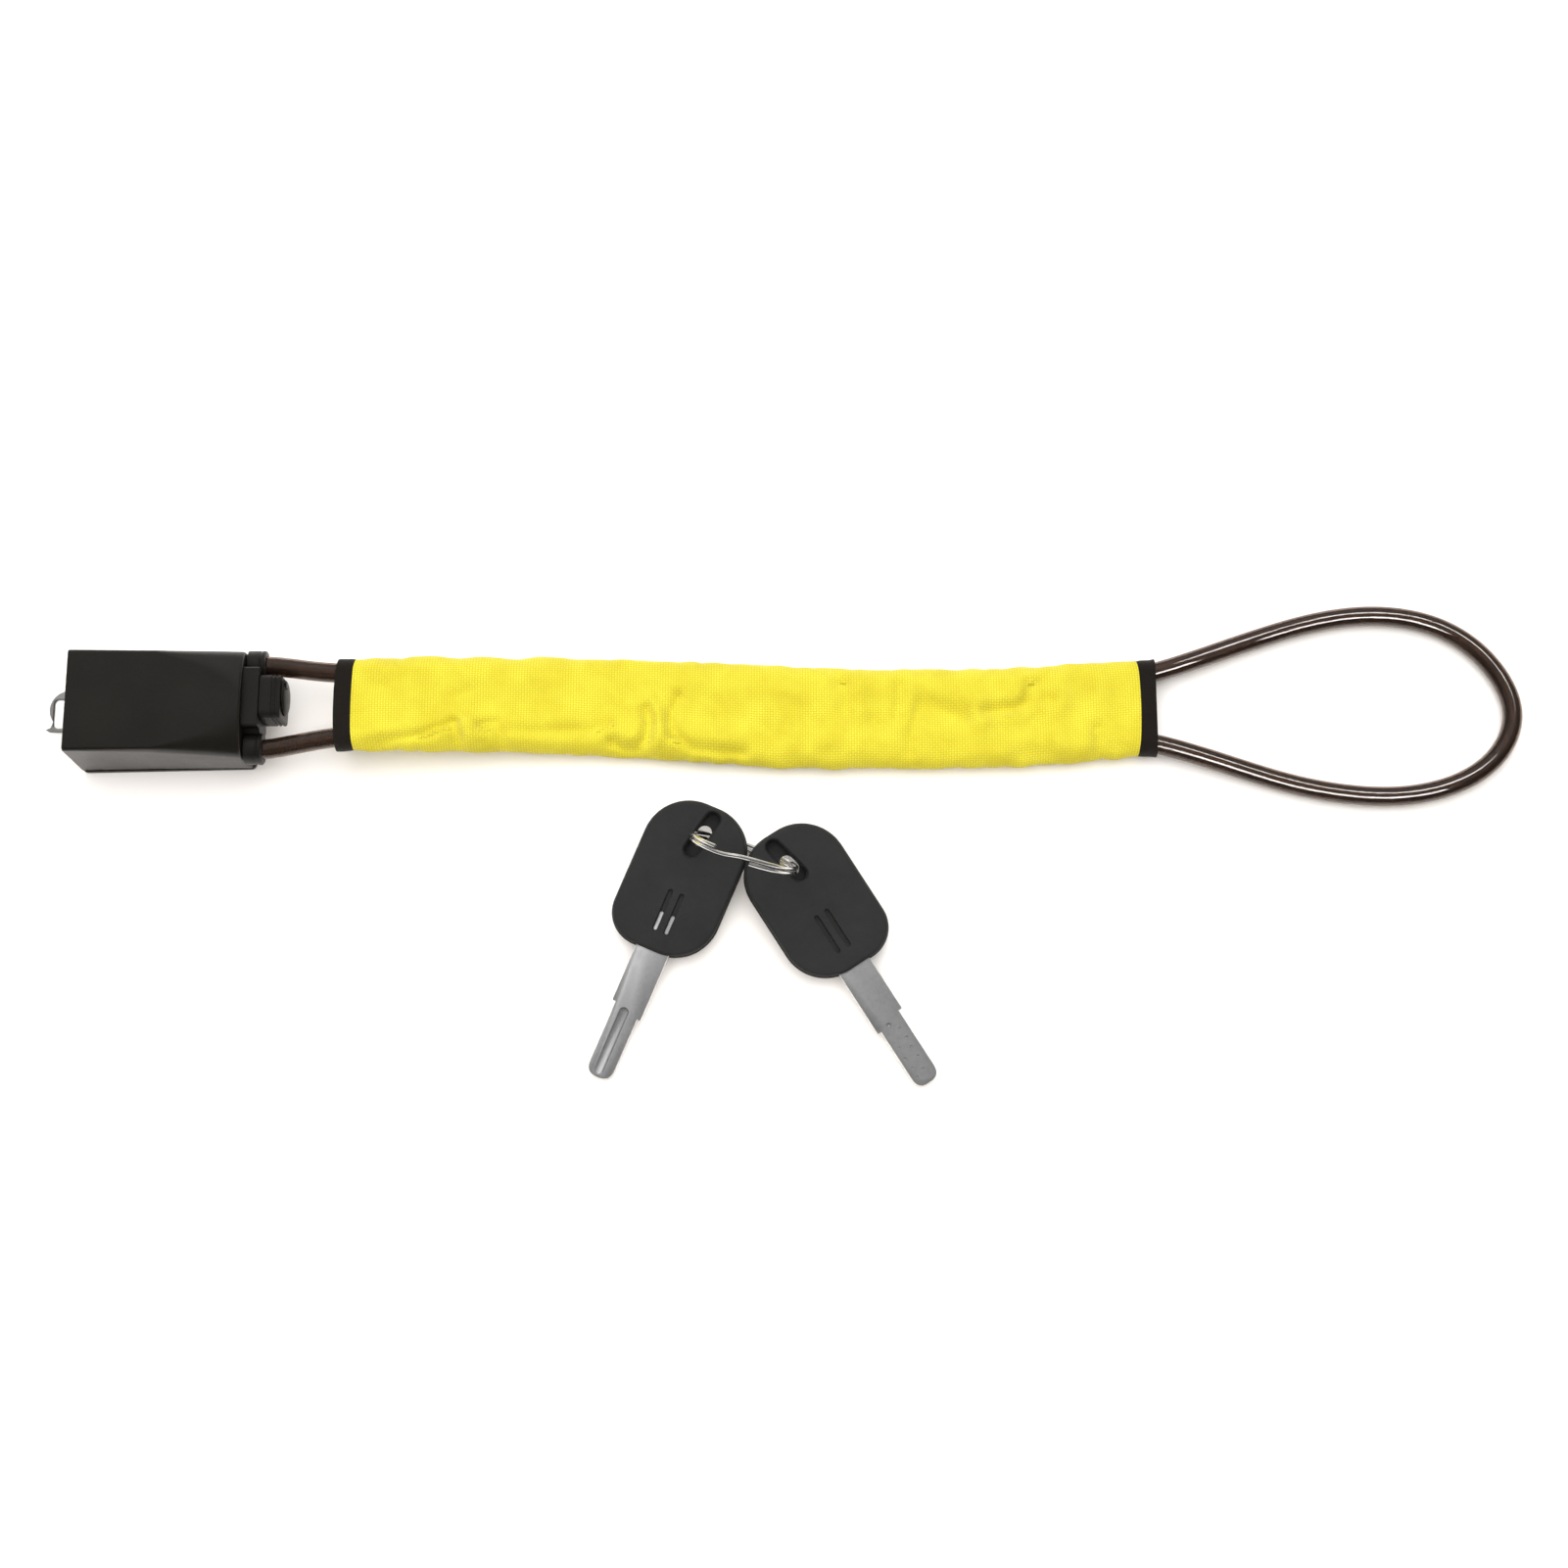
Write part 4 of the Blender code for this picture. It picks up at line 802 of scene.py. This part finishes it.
# --------------------------------------------------------------- the head
GAP = 0.35
MOUTH_X, END_X, HEAD_H, PARTING_Z = -37.0, 36.2, 35.5, 3.25
HALF_BASE, WALL, CAVITY_END_X, CHAMBER_X = 23.0, 1.9, -9.0, -6.0
AXIS_Y, AXIS_Z, STATOR_R = 2.5, 22.5, 8.0
SCREW_XY = [(5.0, -17.3), (5.0, 17.3), (30.0, -17.3), (30.0, 17.3)]
RIVET_XY = [(1.5, 8.3), (1.5, -6.9), (12.5, 8.3), (12.5, -6.9)]


def top_half(x):
    d = max(34.6 - x, 0.0)
    return max(1.6, min(20.35, 20.0 * (d / 33.0) ** 0.45))


def side_half(x, z, taper=1.6):
    s = min(max((x + 10.0) / 46.0, 0.0), 1.0)
    s = s * s * (3 - 2 * s)
    low = taper * (x - MOUTH_X) / (END_X - MOUTH_X) * max(1 - z / 24.0, 0.0)
    return HALF_BASE - low + 0.75 * s * math.sin(math.pi * min(z / 30.0, 1.0)) - 1.1 * (1 - 0.7 * s) * z / HEAD_H


def head_section(x, inward=0.0, n=18):
    t = (x - MOUTH_X) / (END_X - MOUTH_X)
    b = 1.6 + 7.6 * t**1.6
    w = top_half(x)
    zc = HEAD_H - b
    half = [(side_half(x, z), z) for z in np.linspace(PARTING_Z, zc, 9)[:-1]]
    hw = side_half(x, zc)
    for k in range(n + 1):
        a = math.pi / 2 * k / n
        half.append((w + (hw - w) * math.cos(a), zc + b * math.sin(a)))
    out = half + [(-y, z) for y, z in reversed(half)]
    if inward:
        out = inset(out, inward)
        out[0] = (out[0][0], PARTING_Z)
        out[-1] = (out[-1][0], PARTING_Z)
    return out


rings = []
for d, x in ((0.42, 0.0), (0.2, 0.12), (0.06, 0.3)):
    rings.append([(MOUTH_X + x, y, z) for y, z in head_section(MOUTH_X + x, d)])
for x in np.linspace(MOUTH_X + 0.5, END_X - 1.1, 70):
    rings.append([(float(x), y, z) for y, z in head_section(float(x))])
for d, x in ((0.1, 0.75), (0.32, 0.4), (0.62, 0.12), (0.95, 0.0)):
    rings.append([(END_X - x, y, z) for y, z in head_section(END_X - 1.1, d)])
housing = piece("head_shell", loft(rings), HEAD, "head", ("head_housing",), 34)
mouth = [(side_half(-20, 1.0, 0.0) - WALL, 1.0), (side_half(-20, 32.0) - WALL, 32.2), (side_half(-20, 33.3) - WALL - 1.4, HEAD_H - WALL - 0.2)]
mouth = mouth + [(-y, z) for y, z in reversed(mouth)]
flared = inset(mouth, -0.55)
boolean(housing, loft([[(x, y, z) for y, z in o] for x, o in ((MOUTH_X - 0.2, flared), (MOUTH_X + 0.35, mouth), (CAVITY_END_X, mouth))]), angle=34)
boolean(housing, cut_box(CAVITY_END_X - 1, 33.0, -11.2, 11.7, 1.0, 12.55), angle=34)
boolean(housing, turned_x([(CAVITY_END_X - 1, 0), (CAVITY_END_X - 1, 3.4), (CHAMBER_X, 3.4), (CHAMBER_X, 7.6), (16.0, 7.6), (16.0, STATOR_R + GAP), (END_X + 1, STATOR_R + GAP), (END_X + 1, 0)], 48, AXIS_Y, AXIS_Z), angle=34)
for s in (1, -1):
    boolean(housing, turned_x([(20.0, 0), (20.0, 4.4), (END_X + 1, 4.4), (END_X + 1, 0)], 32, s * CABLE_Y, CABLE_Z), angle=34)
    boolean(housing, turned_z([(1.0, 0), (1.0, 1.55), (CABLE_Z - 3.2, 1.55), (CABLE_Z - 3.2, 0)], 16, 24.0, s * CABLE_Y), angle=34)
for x, y in SCREW_XY:
    boolean(housing, turned_z([(1.0, 0), (1.0, 1.7), (13.0, 1.7), (13.6, 0)], 16, x, y), angle=34)
for x, y in RIVET_XY:
    boolean(housing, turned_z([(11.0, 0), (11.0, 2.15), (16.6, 2.15), (16.6, 0)], 16, x, y), angle=34)
boolean(housing, turned_z([(11.0, 0), (11.0, 1.85), (16.0, 1.85), (16.0, 0)], 16, 26.0, AXIS_Y), angle=34)

# the base plate, with its countersunk screw holes
plate_outline = [(x, y * (1 - 0.068 * (x + 37.2) / 74.4)) for x, y in rounded_rect(-37.2, 37.2, -23.5, 23.5, 2.4, 8)]
plate = piece("base_cover", prism(plate_outline, 0.0, 2.9, bevel=0.5), PLATE, "head", ("head_base_plate",))
for x, y in SCREW_XY:
    boolean(plate, turned_z([(-1.0, 0), (-1.0, 3.3), (0.35, 3.1), (1.9, 1.7), (4.0, 1.7), (4.0, 0)], 32, x, y))


# ------------------------------------------------------------- the tongue
def tongue_outline():
    pts = [(17.0, -8.6), (17.0, 10.1)]
    for k in range(29):
        a = math.radians(90 + 128 * k / 28)
        pts.append((-41.6 + 8.45 * math.cos(a), 1.6 + 8.5 * math.sin(a)))
    pts += [(-49.2, -6.3), (-51.3, -7.3), (-49.4, -8.4), (-46.0, -8.6)]
    return pts


tongue = piece("belt_tongue", prism(tongue_outline(), 10.0, 12.2, bevel=0.35), STEEL, "head", ("tongue_plate",))
window = rounded_rect(-47.9, -31.0, -6.4, 5.9, 1.8, 8)
boolean(tongue, loft([[(x, y, z) for x, y in o] for z, o in ((5.0, inset(window, -0.45)), (10.0, inset(window, -0.45)), (10.45, window), (11.75, window), (12.2, inset(window, -0.45)), (15.0, inset(window, -0.45)))]))
for x, y in RIVET_XY:
    boolean(tongue, turned_z([(5, 0), (5, 2.15), (15, 2.15), (15, 0)], 20, x, y))

# ------------------------------------------------- end block and shroud
BOSS = [(-13.05, 16.5), (-13.05, 24.8), (-10.3, 26.6), (-10.3, 31.1), (-9.5, 31.9), (14.6, 31.9), (15.3, 31.2), (15.3, 27.0), (13.0, 26.9), (13.0, 13.8), (12.0, 12.8), (-9.3, 12.8), (-10.3, 13.8)]
boss = piece("end_block", prism(BOSS, END_X - 0.3, 43.05, "X", bevel=0.25), BLACK, "head", ("cylinder_boss",))
boolean(boss, turned_x([(30, 0), (30, STATOR_R + GAP), (50, STATOR_R + GAP), (50, 0)], 64, AXIS_Y, AXIS_Z))
COLLAR_R = 6.6
for s in (1, -1):
    boolean(boss, turned_x([(35, 0), (35, COLLAR_R + GAP), (44, COLLAR_R + GAP), (44, 0)], 56, s * 18.1, CABLE_Z))

PIN, COVER = (AXIS_Y + 5.7, AXIS_Z + 5.7), (3.6, 23.9)
sh = rounded_rect(AXIS_Y - 8.95, AXIS_Y + 9.65, 13.2, 31.9, [2.8, 2.8, 2.2, 2.2], 8)
steps = [(43.15, 0.55), (43.25, 0.25), (43.45, 0.06), (43.7, 0.0), (48.2, 0.0), (48.35, 0.08), (48.45, 0.38), (49.15, 0.38), (49.25, 0.08), (49.4, 0.0), (49.8, 0.0), (49.95, 0.08), (50.05, 0.38), (50.75, 0.38), (50.85, 0.08), (51.0, 0.0), (51.7, 0.0), (51.95, 0.1), (52.12, 0.3), (52.2, 0.6)]
shroud = piece("lock_shroud", loft([[(x, y, z) for y, z in (inset(sh, d) if d else sh)] for x, d in steps]), BLACK, "head", ("cylinder_shroud",))
boolean(shroud, turned_x([(40, 0), (40, STATOR_R + GAP), (50.6, STATOR_R + GAP), (50.6, 6.2), (51.8, 6.2), (52.3, 6.75), (54, 6.75), (54, 0)], 64, AXIS_Y, AXIS_Z))
boolean(shroud, turned_x([(50.65, 0), (50.65, 1.15), (55, 1.15), (55, 0)], 20, *PIN))


def hull_of(pts):
    pts = sorted(set((round(a, 6), round(b, 6)) for a, b in pts))

    def half(seq):
        out = []
        for p in seq:
            while len(out) > 1 and (out[-1][0] - out[-2][0]) * (p[1] - out[-2][1]) - (out[-1][1] - out[-2][1]) * (p[0] - out[-2][0]) <= 1e-9:
                out.pop()
            out.append(p)
        return out[:-1]

    return half(pts) + half(reversed(pts))


base = hull_of(circle(7.4, 96, *COVER) + circle(2.5, 32, *PIN))
rings = [[(x, a, b) for a, b in (inset(base, d) if d else base)] for x, d in ((52.5, 0.3), (52.58, 0.08), (52.75, 0.0), (52.95, 0.02))]
for k in range(1, 12):
    f = 1 - (k / 12) ** 1.25
    x = 52.95 + 1.40 * math.sqrt(max(1 - f * f, 0.0)) ** 1.0
    rings.append([(x, COVER[0] + (a - COVER[0]) * f, COVER[1] + (b - COVER[1]) * f) for a, b in base])
cover = piece("key_cover", loft(rings), BLACK, "cover", ("keyway_cover",), 40)
boolean(cover, turned_x([(50, 0), (50, 1.15), (60, 1.15), (60, 0)], 24, *PIN), angle=40)
boolean(cover, turned_x([(53.3, 0), (53.3, 2.1), (60, 2.1), (60, 0)], 24, *PIN), angle=40)
pin = piece("cover_pin", turned_x(rounded_profile([(51.0, 0), (51.0, 0.8), (53.65, 0.8), (53.65, 1.7), (54.2, 1.5), (54.3, 0)], 0.25), 28, *PIN), DARK_STEEL, "head", ("cover_pivot_pin",))

for s, side in ((1, "upper"), (-1, "lower")):
    prof = rounded_profile([(36.6, 0), (36.6, COLLAR_R), (41.6, COLLAR_R), (41.8, COLLAR_R - 0.3), (42.3, COLLAR_R - 0.3), (42.5, COLLAR_R), (43.7, COLLAR_R), (44.3, COLLAR_R - 0.6), (44.3, 0)], 0.35)
    collar = piece(f"collar_{side}", turned_x(prof, 64, s * 18.1, CABLE_Z), BLACK, "head", (f"cable_collar_{side}",))
    boolean(collar, turned_x([(30, 0), (30, 3.3), (43.6, 3.3), (44.2, 4.35), (50, 4.35), (50, 0)], 40, s * CABLE_Y, CABLE_Z))
    if s > 0:
        boolean(collar, cut_box(42.7, 50, 0, AXIS_Y + 10.05, 0, 40))

# --------------------------------------------------------------- the keys
CROSS = {"left": Vector((229.7, -57.1, 11.9)), "right": Vector((264.0, -69.2, 11.9))}
TURN = {"left": -23.3, "right": 33.0}
PITCH = {"left": 5.95, "right": 6.15}
SLOT_AT = {"left": (0.3, 0.0), "right": (-0.75, 3.0)}
FLIP = {"left": 1, "right": -1}
BOW_W, BOW_T, BLADE_T, BLADE_HALF, BLADE_ROOT = 40.6, 6.0, 2.4, 5.05, 6.55
BOW_TOP, BOW_END, STEP_Y, TIP_Y = 11.7, -48.0, -70.3, -99.0
BOW_R, BOW_OFF = (17.5, 18.0, 13.0, 17.5), -0.75
KEY_SCALE = 1 / 0.9
KEY_ABOUT, KEY_SHIFT = Vector((246.64, -97.95, 0.0)), Vector((0.9, -0.7, 0.0))
enlarge = Matrix.Translation((KEY_ABOUT + KEY_SHIFT) * MM) @ Matrix.Diagonal((KEY_SCALE, KEY_SCALE, KEY_SCALE, 1)) @ Matrix.Translation(-KEY_ABOUT * MM)


def key_frame(side):
    return Matrix.Translation(CROSS[side] * MM) @ Matrix.Rotation(math.radians(TURN[side]), 4, "Z") @ Matrix.Rotation(math.radians(PITCH[side]), 4, "X")


def bow_outline(f, n=20):
    out = []
    for (cx, cy, a0), r in zip(((1, 1, 0), (-1, 1, 90), (-1, -1, 180), (1, -1, 270)), BOW_R):
        ox, oy = BOW_OFF + cx * (BOW_W / 2 - r), (BOW_TOP - r) if cy > 0 else (BOW_END + r)
        for k in range(n + 1):
            t = math.radians(a0 + 90 * k / n)
            out.append((f * (ox + r * math.cos(t)), oy + r * math.sin(t)))
    return out if f > 0 else list(reversed(out))


def slot_outline(f, grow=0.0, n=16, half=7.0):
    lean, r = math.radians(12.0) * f, 2.75 + grow
    out = []
    for s in (1, -1):
        ox, oy = s * half * math.sin(lean), s * half * math.cos(lean)
        for k in range(n + 1):
            a = -lean + (0 if s > 0 else math.pi) + math.pi * k / n
            out.append((ox + r * math.cos(a), oy + r * math.sin(a)))
    return out


def moved(outline, by):
    return [(a + by[0], b + by[1]) for a, b in outline]


def bullet(x, y0, y1, r, n=8):
    """A round-ended strip along y."""
    out = [(x + r * math.cos(math.pi * k / n), y1 - r + r * math.sin(math.pi * k / n)) for k in range(n + 1)]
    return out + [(x + r * math.cos(math.pi + math.pi * k / n), y0 + r + r * math.sin(math.pi + math.pi * k / n)) for k in range(n + 1)]


metal_pieces = []
for side in ("left", "right"):
    f, place, by = FLIP[side], enlarge @ key_frame(side), SLOT_AT[side]
    o = moved(bow_outline(f), by)
    h = BOW_T / 2
    profile = [(1.5, -h), (0.8, -h + 0.18), (0.3, -h + 0.6), (0.06, -h + 1.05), (0.0, -h + 1.5), (0.0, 0.25), (0.08, 0.42), (0.38, 0.5), (0.46, 0.62), (0.46, h - 1.15), (0.56, h - 0.75), (0.82, h - 0.38), (1.2, h - 0.14), (1.7, h - 0.02), (2.1, h)]
    bow = piece(f"bow_{side}", loft([[(x, y, z) for x, y in (inset(o, d) if d else o)] for d, z in profile]), BOW, f"key_{side}", (f"key_bow_{side}",), 40)
    # the slot is blind at its two ends and goes through where the ring crosses it
    hole = [moved(slot_outline(f, g), by) for g in (0.75, 0.75, 0.22, 0.0, 0.0)]
    boolean(bow, loft([[(x, y, z) for x, y in q] for q, z in zip(hole, (h + 0.6, h + 0.02, h - 0.5, h - 0.9, -h + 0.9))]), angle=40)
    boolean(bow, prism(moved(slot_outline(f, -0.02, half=1.5), (by[0] * 0.5, by[1] * 0.35)), -5, -h + 1.5), angle=40)
    boolean(bow, cut_box(by[0] - 7.15, by[0] + 7.15, by[1] + BOW_END - 3, by[1] + BOW_END + 16.3, -BLADE_T / 2 - 0.35, BLADE_T / 2 + 0.35), angle=40)
    for sx in (-2.3, 2.3):
        boolean(bow, loft([[(x, y, z) for x, y in moved(bullet(sx, -40.0 - g, -23.5 + g, 0.9 + g), by)] for z, g in ((h - 1.25, -0.1), (h - 0.12, 0.0), (h + 0.02, 0.14), (h + 1, 0.14))]), angle=40)
        if side == "left":  # these stripes are cut through to the blade's bright tang
            boolean(bow, prism(moved(bullet(sx, -39.9, -32.4, 0.7), by), BLADE_T / 2 + 0.1, h), angle=40)
    w1, w2 = BLADE_HALF, BLADE_ROOT
    blade = [(-w2, BOW_END + 16.0), (-w2, STEP_Y + 0.4), (-w2 + 0.4, STEP_Y), (-w1, STEP_Y)]
    blade += [(-w1, TIP_Y + 4.2)] + [(-w1 * math.cos(math.radians(a)) ** 0.7, TIP_Y + 4.2 - 4.2 * math.sin(math.radians(a))) for a in (15, 30, 45, 60, 75)] + [(0.0, TIP_Y)]
    blade += [(w1 * math.cos(math.radians(a)) ** 0.7, TIP_Y + 4.2 - 4.2 * math.sin(math.radians(a))) for a in (75, 60, 45, 30, 15)] + [(w1, TIP_Y + 4.2)]
    blade += [(w1, STEP_Y - 3.2), (w2 - 0.4, STEP_Y - 3.2), (w2, STEP_Y - 2.8), (w2, BOW_END + 16.0)]
    if f < 0:
        blade = [(-a, b) for a, b in reversed(blade)]
    b = piece(f"blade_{side}", prism(moved(blade, by), -BLADE_T / 2, BLADE_T / 2, bevel=0.28, steps=3), BLADE, f"key_{side}", (f"key_blade_{side}",), 30)
    top = BLADE_T / 2
    if side == "left":
        # the milled channel: a flat floor with sloped walls and a round top end
        boolean(b, loft([[(x, y, z) for x, y in moved(bullet(-0.6, TIP_Y + 1.2 - g, STEP_Y - 1.0 + g, 1.55 + g, 12), by)] for z, g in ((top - 0.85, -0.35), (top - 0.75, -0.1), (top + 0.05, 0.35), (top + 2, 0.35))]), angle=30)
        for k, depth in enumerate((0.5, 0.9, 0.4, 0.8, 0.6)):
            y = TIP_Y + 6.5 + 4.1 * k
            boolean(b, prism(moved([(-(w1 + 0.3), y - 1.1), (-w1 + depth * 1.4, y), (-(w1 + 0.3), y + 1.1)], by), 0.2, 4), angle=30)
    else:
        spots = [(-1.2, 0.6, 0.85), (1.6, -2.6, 0.45), (1.9, -6.8, 0.55), (1.5, -10.6, 0.45), (1.9, -15.0, 0.5), (-2.6, -8.4, 0.45), (-2.9, -13.2, 0.55), (-2.5, -17.6, 0.45), (-2.8, -21.4, 0.5), (0.8, -20.0, 0.4)]
        for sx, sy, r in spots:
            boolean(b, turned_z([(top - r * 1.1, 0), (top - r * 0.7, r * 0.6), (top + 0.05, r * 1.25), (top + 2, r * 1.25), (top + 2, 0)], 16, by[0] + sx * -f, by[1] + STEP_Y - 3.0 + sy), angle=30)
        boolean(b, prism(moved([(x * -f, y) for x, y in ((1.2, TIP_Y + 1.2), (1.7, TIP_Y + 1.4), (2.5, TIP_Y + 5.0), (2.0, TIP_Y + 5.0))], by), top - 0.4, 4), angle=30)
    bow.data.transform(place)
    b.data.transform(place)
    metal_pieces.append(b)

# the split ring: two turns of wire with a jog where they pass each other
RING_TILT = math.radians(73.0)
u = (CROSS["right"] - CROSS["left"]).normalized()
v = Vector((u.y, -u.x, 0)).normalized()
if v.y > 0:
    v = -v
w = v * math.cos(RING_TILT) + Vector((0, 0, 1)) * math.sin(RING_TILT)
axis = u.cross(w).normalized()
half_chord = (CROSS["right"] - CROSS["left"]).length / 2
RING_R = 20.5
RING_C = (CROSS["left"] + CROSS["right"]) / 2 + w * math.sqrt(RING_R**2 - half_chord**2)
ring_path = []
for k in range(361):
    t = math.radians(20) + (4 * math.pi - math.radians(40)) * k / 360
    j = (t - 2 * math.pi) / math.radians(18)
    level = 1 / (1 + math.exp(-3 * max(-6, min(6, j)))) - 0.5
    a = t + math.radians(97.0)
    p = RING_C + (u * math.cos(a) + w * math.sin(a)) * RING_R + axis * level * 1.85
    ring_path.append(KEY_ABOUT + KEY_SHIFT + (p - KEY_ABOUT) * KEY_SCALE)
ring = tube("wire_ring", np.array([list(p) for p in ring_path]), 0.75 * KEY_SCALE, NICKEL, "key_ring", ("split_ring",), sides=16, angle=50)

metal_pieces.append(ring)

# ---------------------------------------- the parts inside keep their shape
CARRIED = {
    "lock_cylinder": BRASS, "cylinder_plug": BRASS, "cylinder_clip": STEEL, "cylinder_grub_screw": STEEL, "drive_cam": ZINC,
    "release_pusher": ZINC, "pusher_spring": STEEL, "cable_ferrule_upper": ZINC, "cable_ferrule_lower": ZINC,
    "ferrule_pin_upper": STEEL, "ferrule_pin_lower": STEEL,
}
for i in range(1, 5):
    CARRIED[f"base_screw_{i}"] = STEEL
    CARRIED[f"tongue_rivet_{i}"] = STEEL
for i in range(1, 6):
    CARRIED[f"tumbler_wafer_{i}"] = BRASS
for name, mat in CARRIED.items():
    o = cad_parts[name]
    for k in range(max(1, len(o.material_slots))):
        if o.material_slots:
            o.material_slots[k].material = mat
        else:
            o.data.materials.append(mat)

[[float(c) * MM for c in p] for p in jacket_path[::2]]

# ------------------------------------------------------- floor and light
bm = bmesh.new()
bmesh.ops.create_grid(bm, x_segments=2, y_segments=2, size=3.0)
me = bpy.data.meshes.new("floor")
bm.to_mesh(me)
bm.free()
floor = bpy.data.objects.new("floor", me)
floor.location = (0.26, 0, -0.0004)
COLL.objects.link(floor)
fl = Nodes("floor_paper")
fl.put(fl.ramp(fl.noise(3.0), [(0.3, (0.89, 0.862, 0.835)), (0.7, (0.92, 0.892, 0.865))]), "Base Color")
fl.set(Roughness=0.9, Specular_IOR_Level=0.1)
me.materials.append(fl.m)

world = bpy.data.worlds.new("world")
SCENE.world = world
world.use_nodes = True
wt = world.node_tree
where, lean, dome = wt.nodes.new("ShaderNodeTexCoord"), wt.nodes.new("ShaderNodeVectorMath"), wt.nodes.new("ShaderNodeValToRGB")
lean.operation = "DOT_PRODUCT"
lean.inputs[1].default_value = (0.0, 0.75, 0.66)
wt.links.new(where.outputs["Generated"], lean.inputs[0])
wt.links.new(lean.outputs["Value"], dome.inputs["Fac"])
for at, level in ((0.05, 0.13), (0.45, 0.22), (0.82, 0.44), (1.0, 0.85)):
    e = dome.color_ramp.elements[0] if at == 0.05 else (dome.color_ramp.elements[-1] if at == 1.0 else dome.color_ramp.elements.new(at))
    e.position = at
    e.color = (level, level, level, 1)
wt.links.new(dome.outputs["Color"], wt.nodes["Background"].inputs["Color"])
wt.nodes["Background"].inputs["Strength"].default_value = 1.0


def soft_light(name, at, size, power, aim=(0.26, 0.0, 0.0), size_y=None, tint=(1, 1, 1), glossy=True, diffuse=True):
    d = bpy.data.lights.new(name, "AREA")
    d.shape = "RECTANGLE"
    d.size, d.size_y = size, size_y or size
    d.energy = power
    d.color = tint
    o = bpy.data.objects.new(name, d)
    COLL.objects.link(o)
    o.location = at
    o.visible_glossy = glossy
    o.visible_diffuse = diffuse
    o.rotation_euler = (Vector(aim) - Vector(at)).to_track_quat("-Z", "Y").to_euler()
    return o


soft_light("over", (0.26, 0.1, 1.75), 2.6, 46.0, size_y=1.8, glossy=False)
soft_light("key", (0.30, 1.15, 1.15), 1.5, 14.0, size_y=0.7, glossy=False)
soft_light("fill", (0.0, -1.3, 0.8), 1.5, 9.0, size_y=0.6, tint=(1.0, 0.92, 0.84), glossy=False)
soft_light("left", (-1.25, 0.0, 0.9), 0.8, 4.0, glossy=False)
# two long soft boxes that only draw the highlights along the clear cable jacket, and a card for the keys' metal
strips = [
    soft_light("strip_front", (0.72, -0.64, 1.03), 0.80, 28.0, size_y=0.34, aim=(0.5, 0.0, 0.0), diffuse=False),
    soft_light("strip_back", (0.84, 0.48, 1.08), 0.45, 6.5, size_y=0.18, aim=(0.5, 0.0, 0.0), diffuse=False),
]
card = soft_light("metal_card", (-0.05, 0.20, 1.20), 0.50, 0.9, aim=(0.25, -0.1, 0.0), diffuse=False)
for name, lights, pieces_lit in (("jacket_only", strips, (jacket,)), ("bright_metal_only", [card], metal_pieces)):
    lit = bpy.data.collections.new(name)
    for o in pieces_lit:
        lit.objects.link(o)
    for light in lights:
        light.light_linking.receiver_collection = lit
SCENE.view_settings.view_transform = "Standard"
SCENE.view_settings.look = "None"
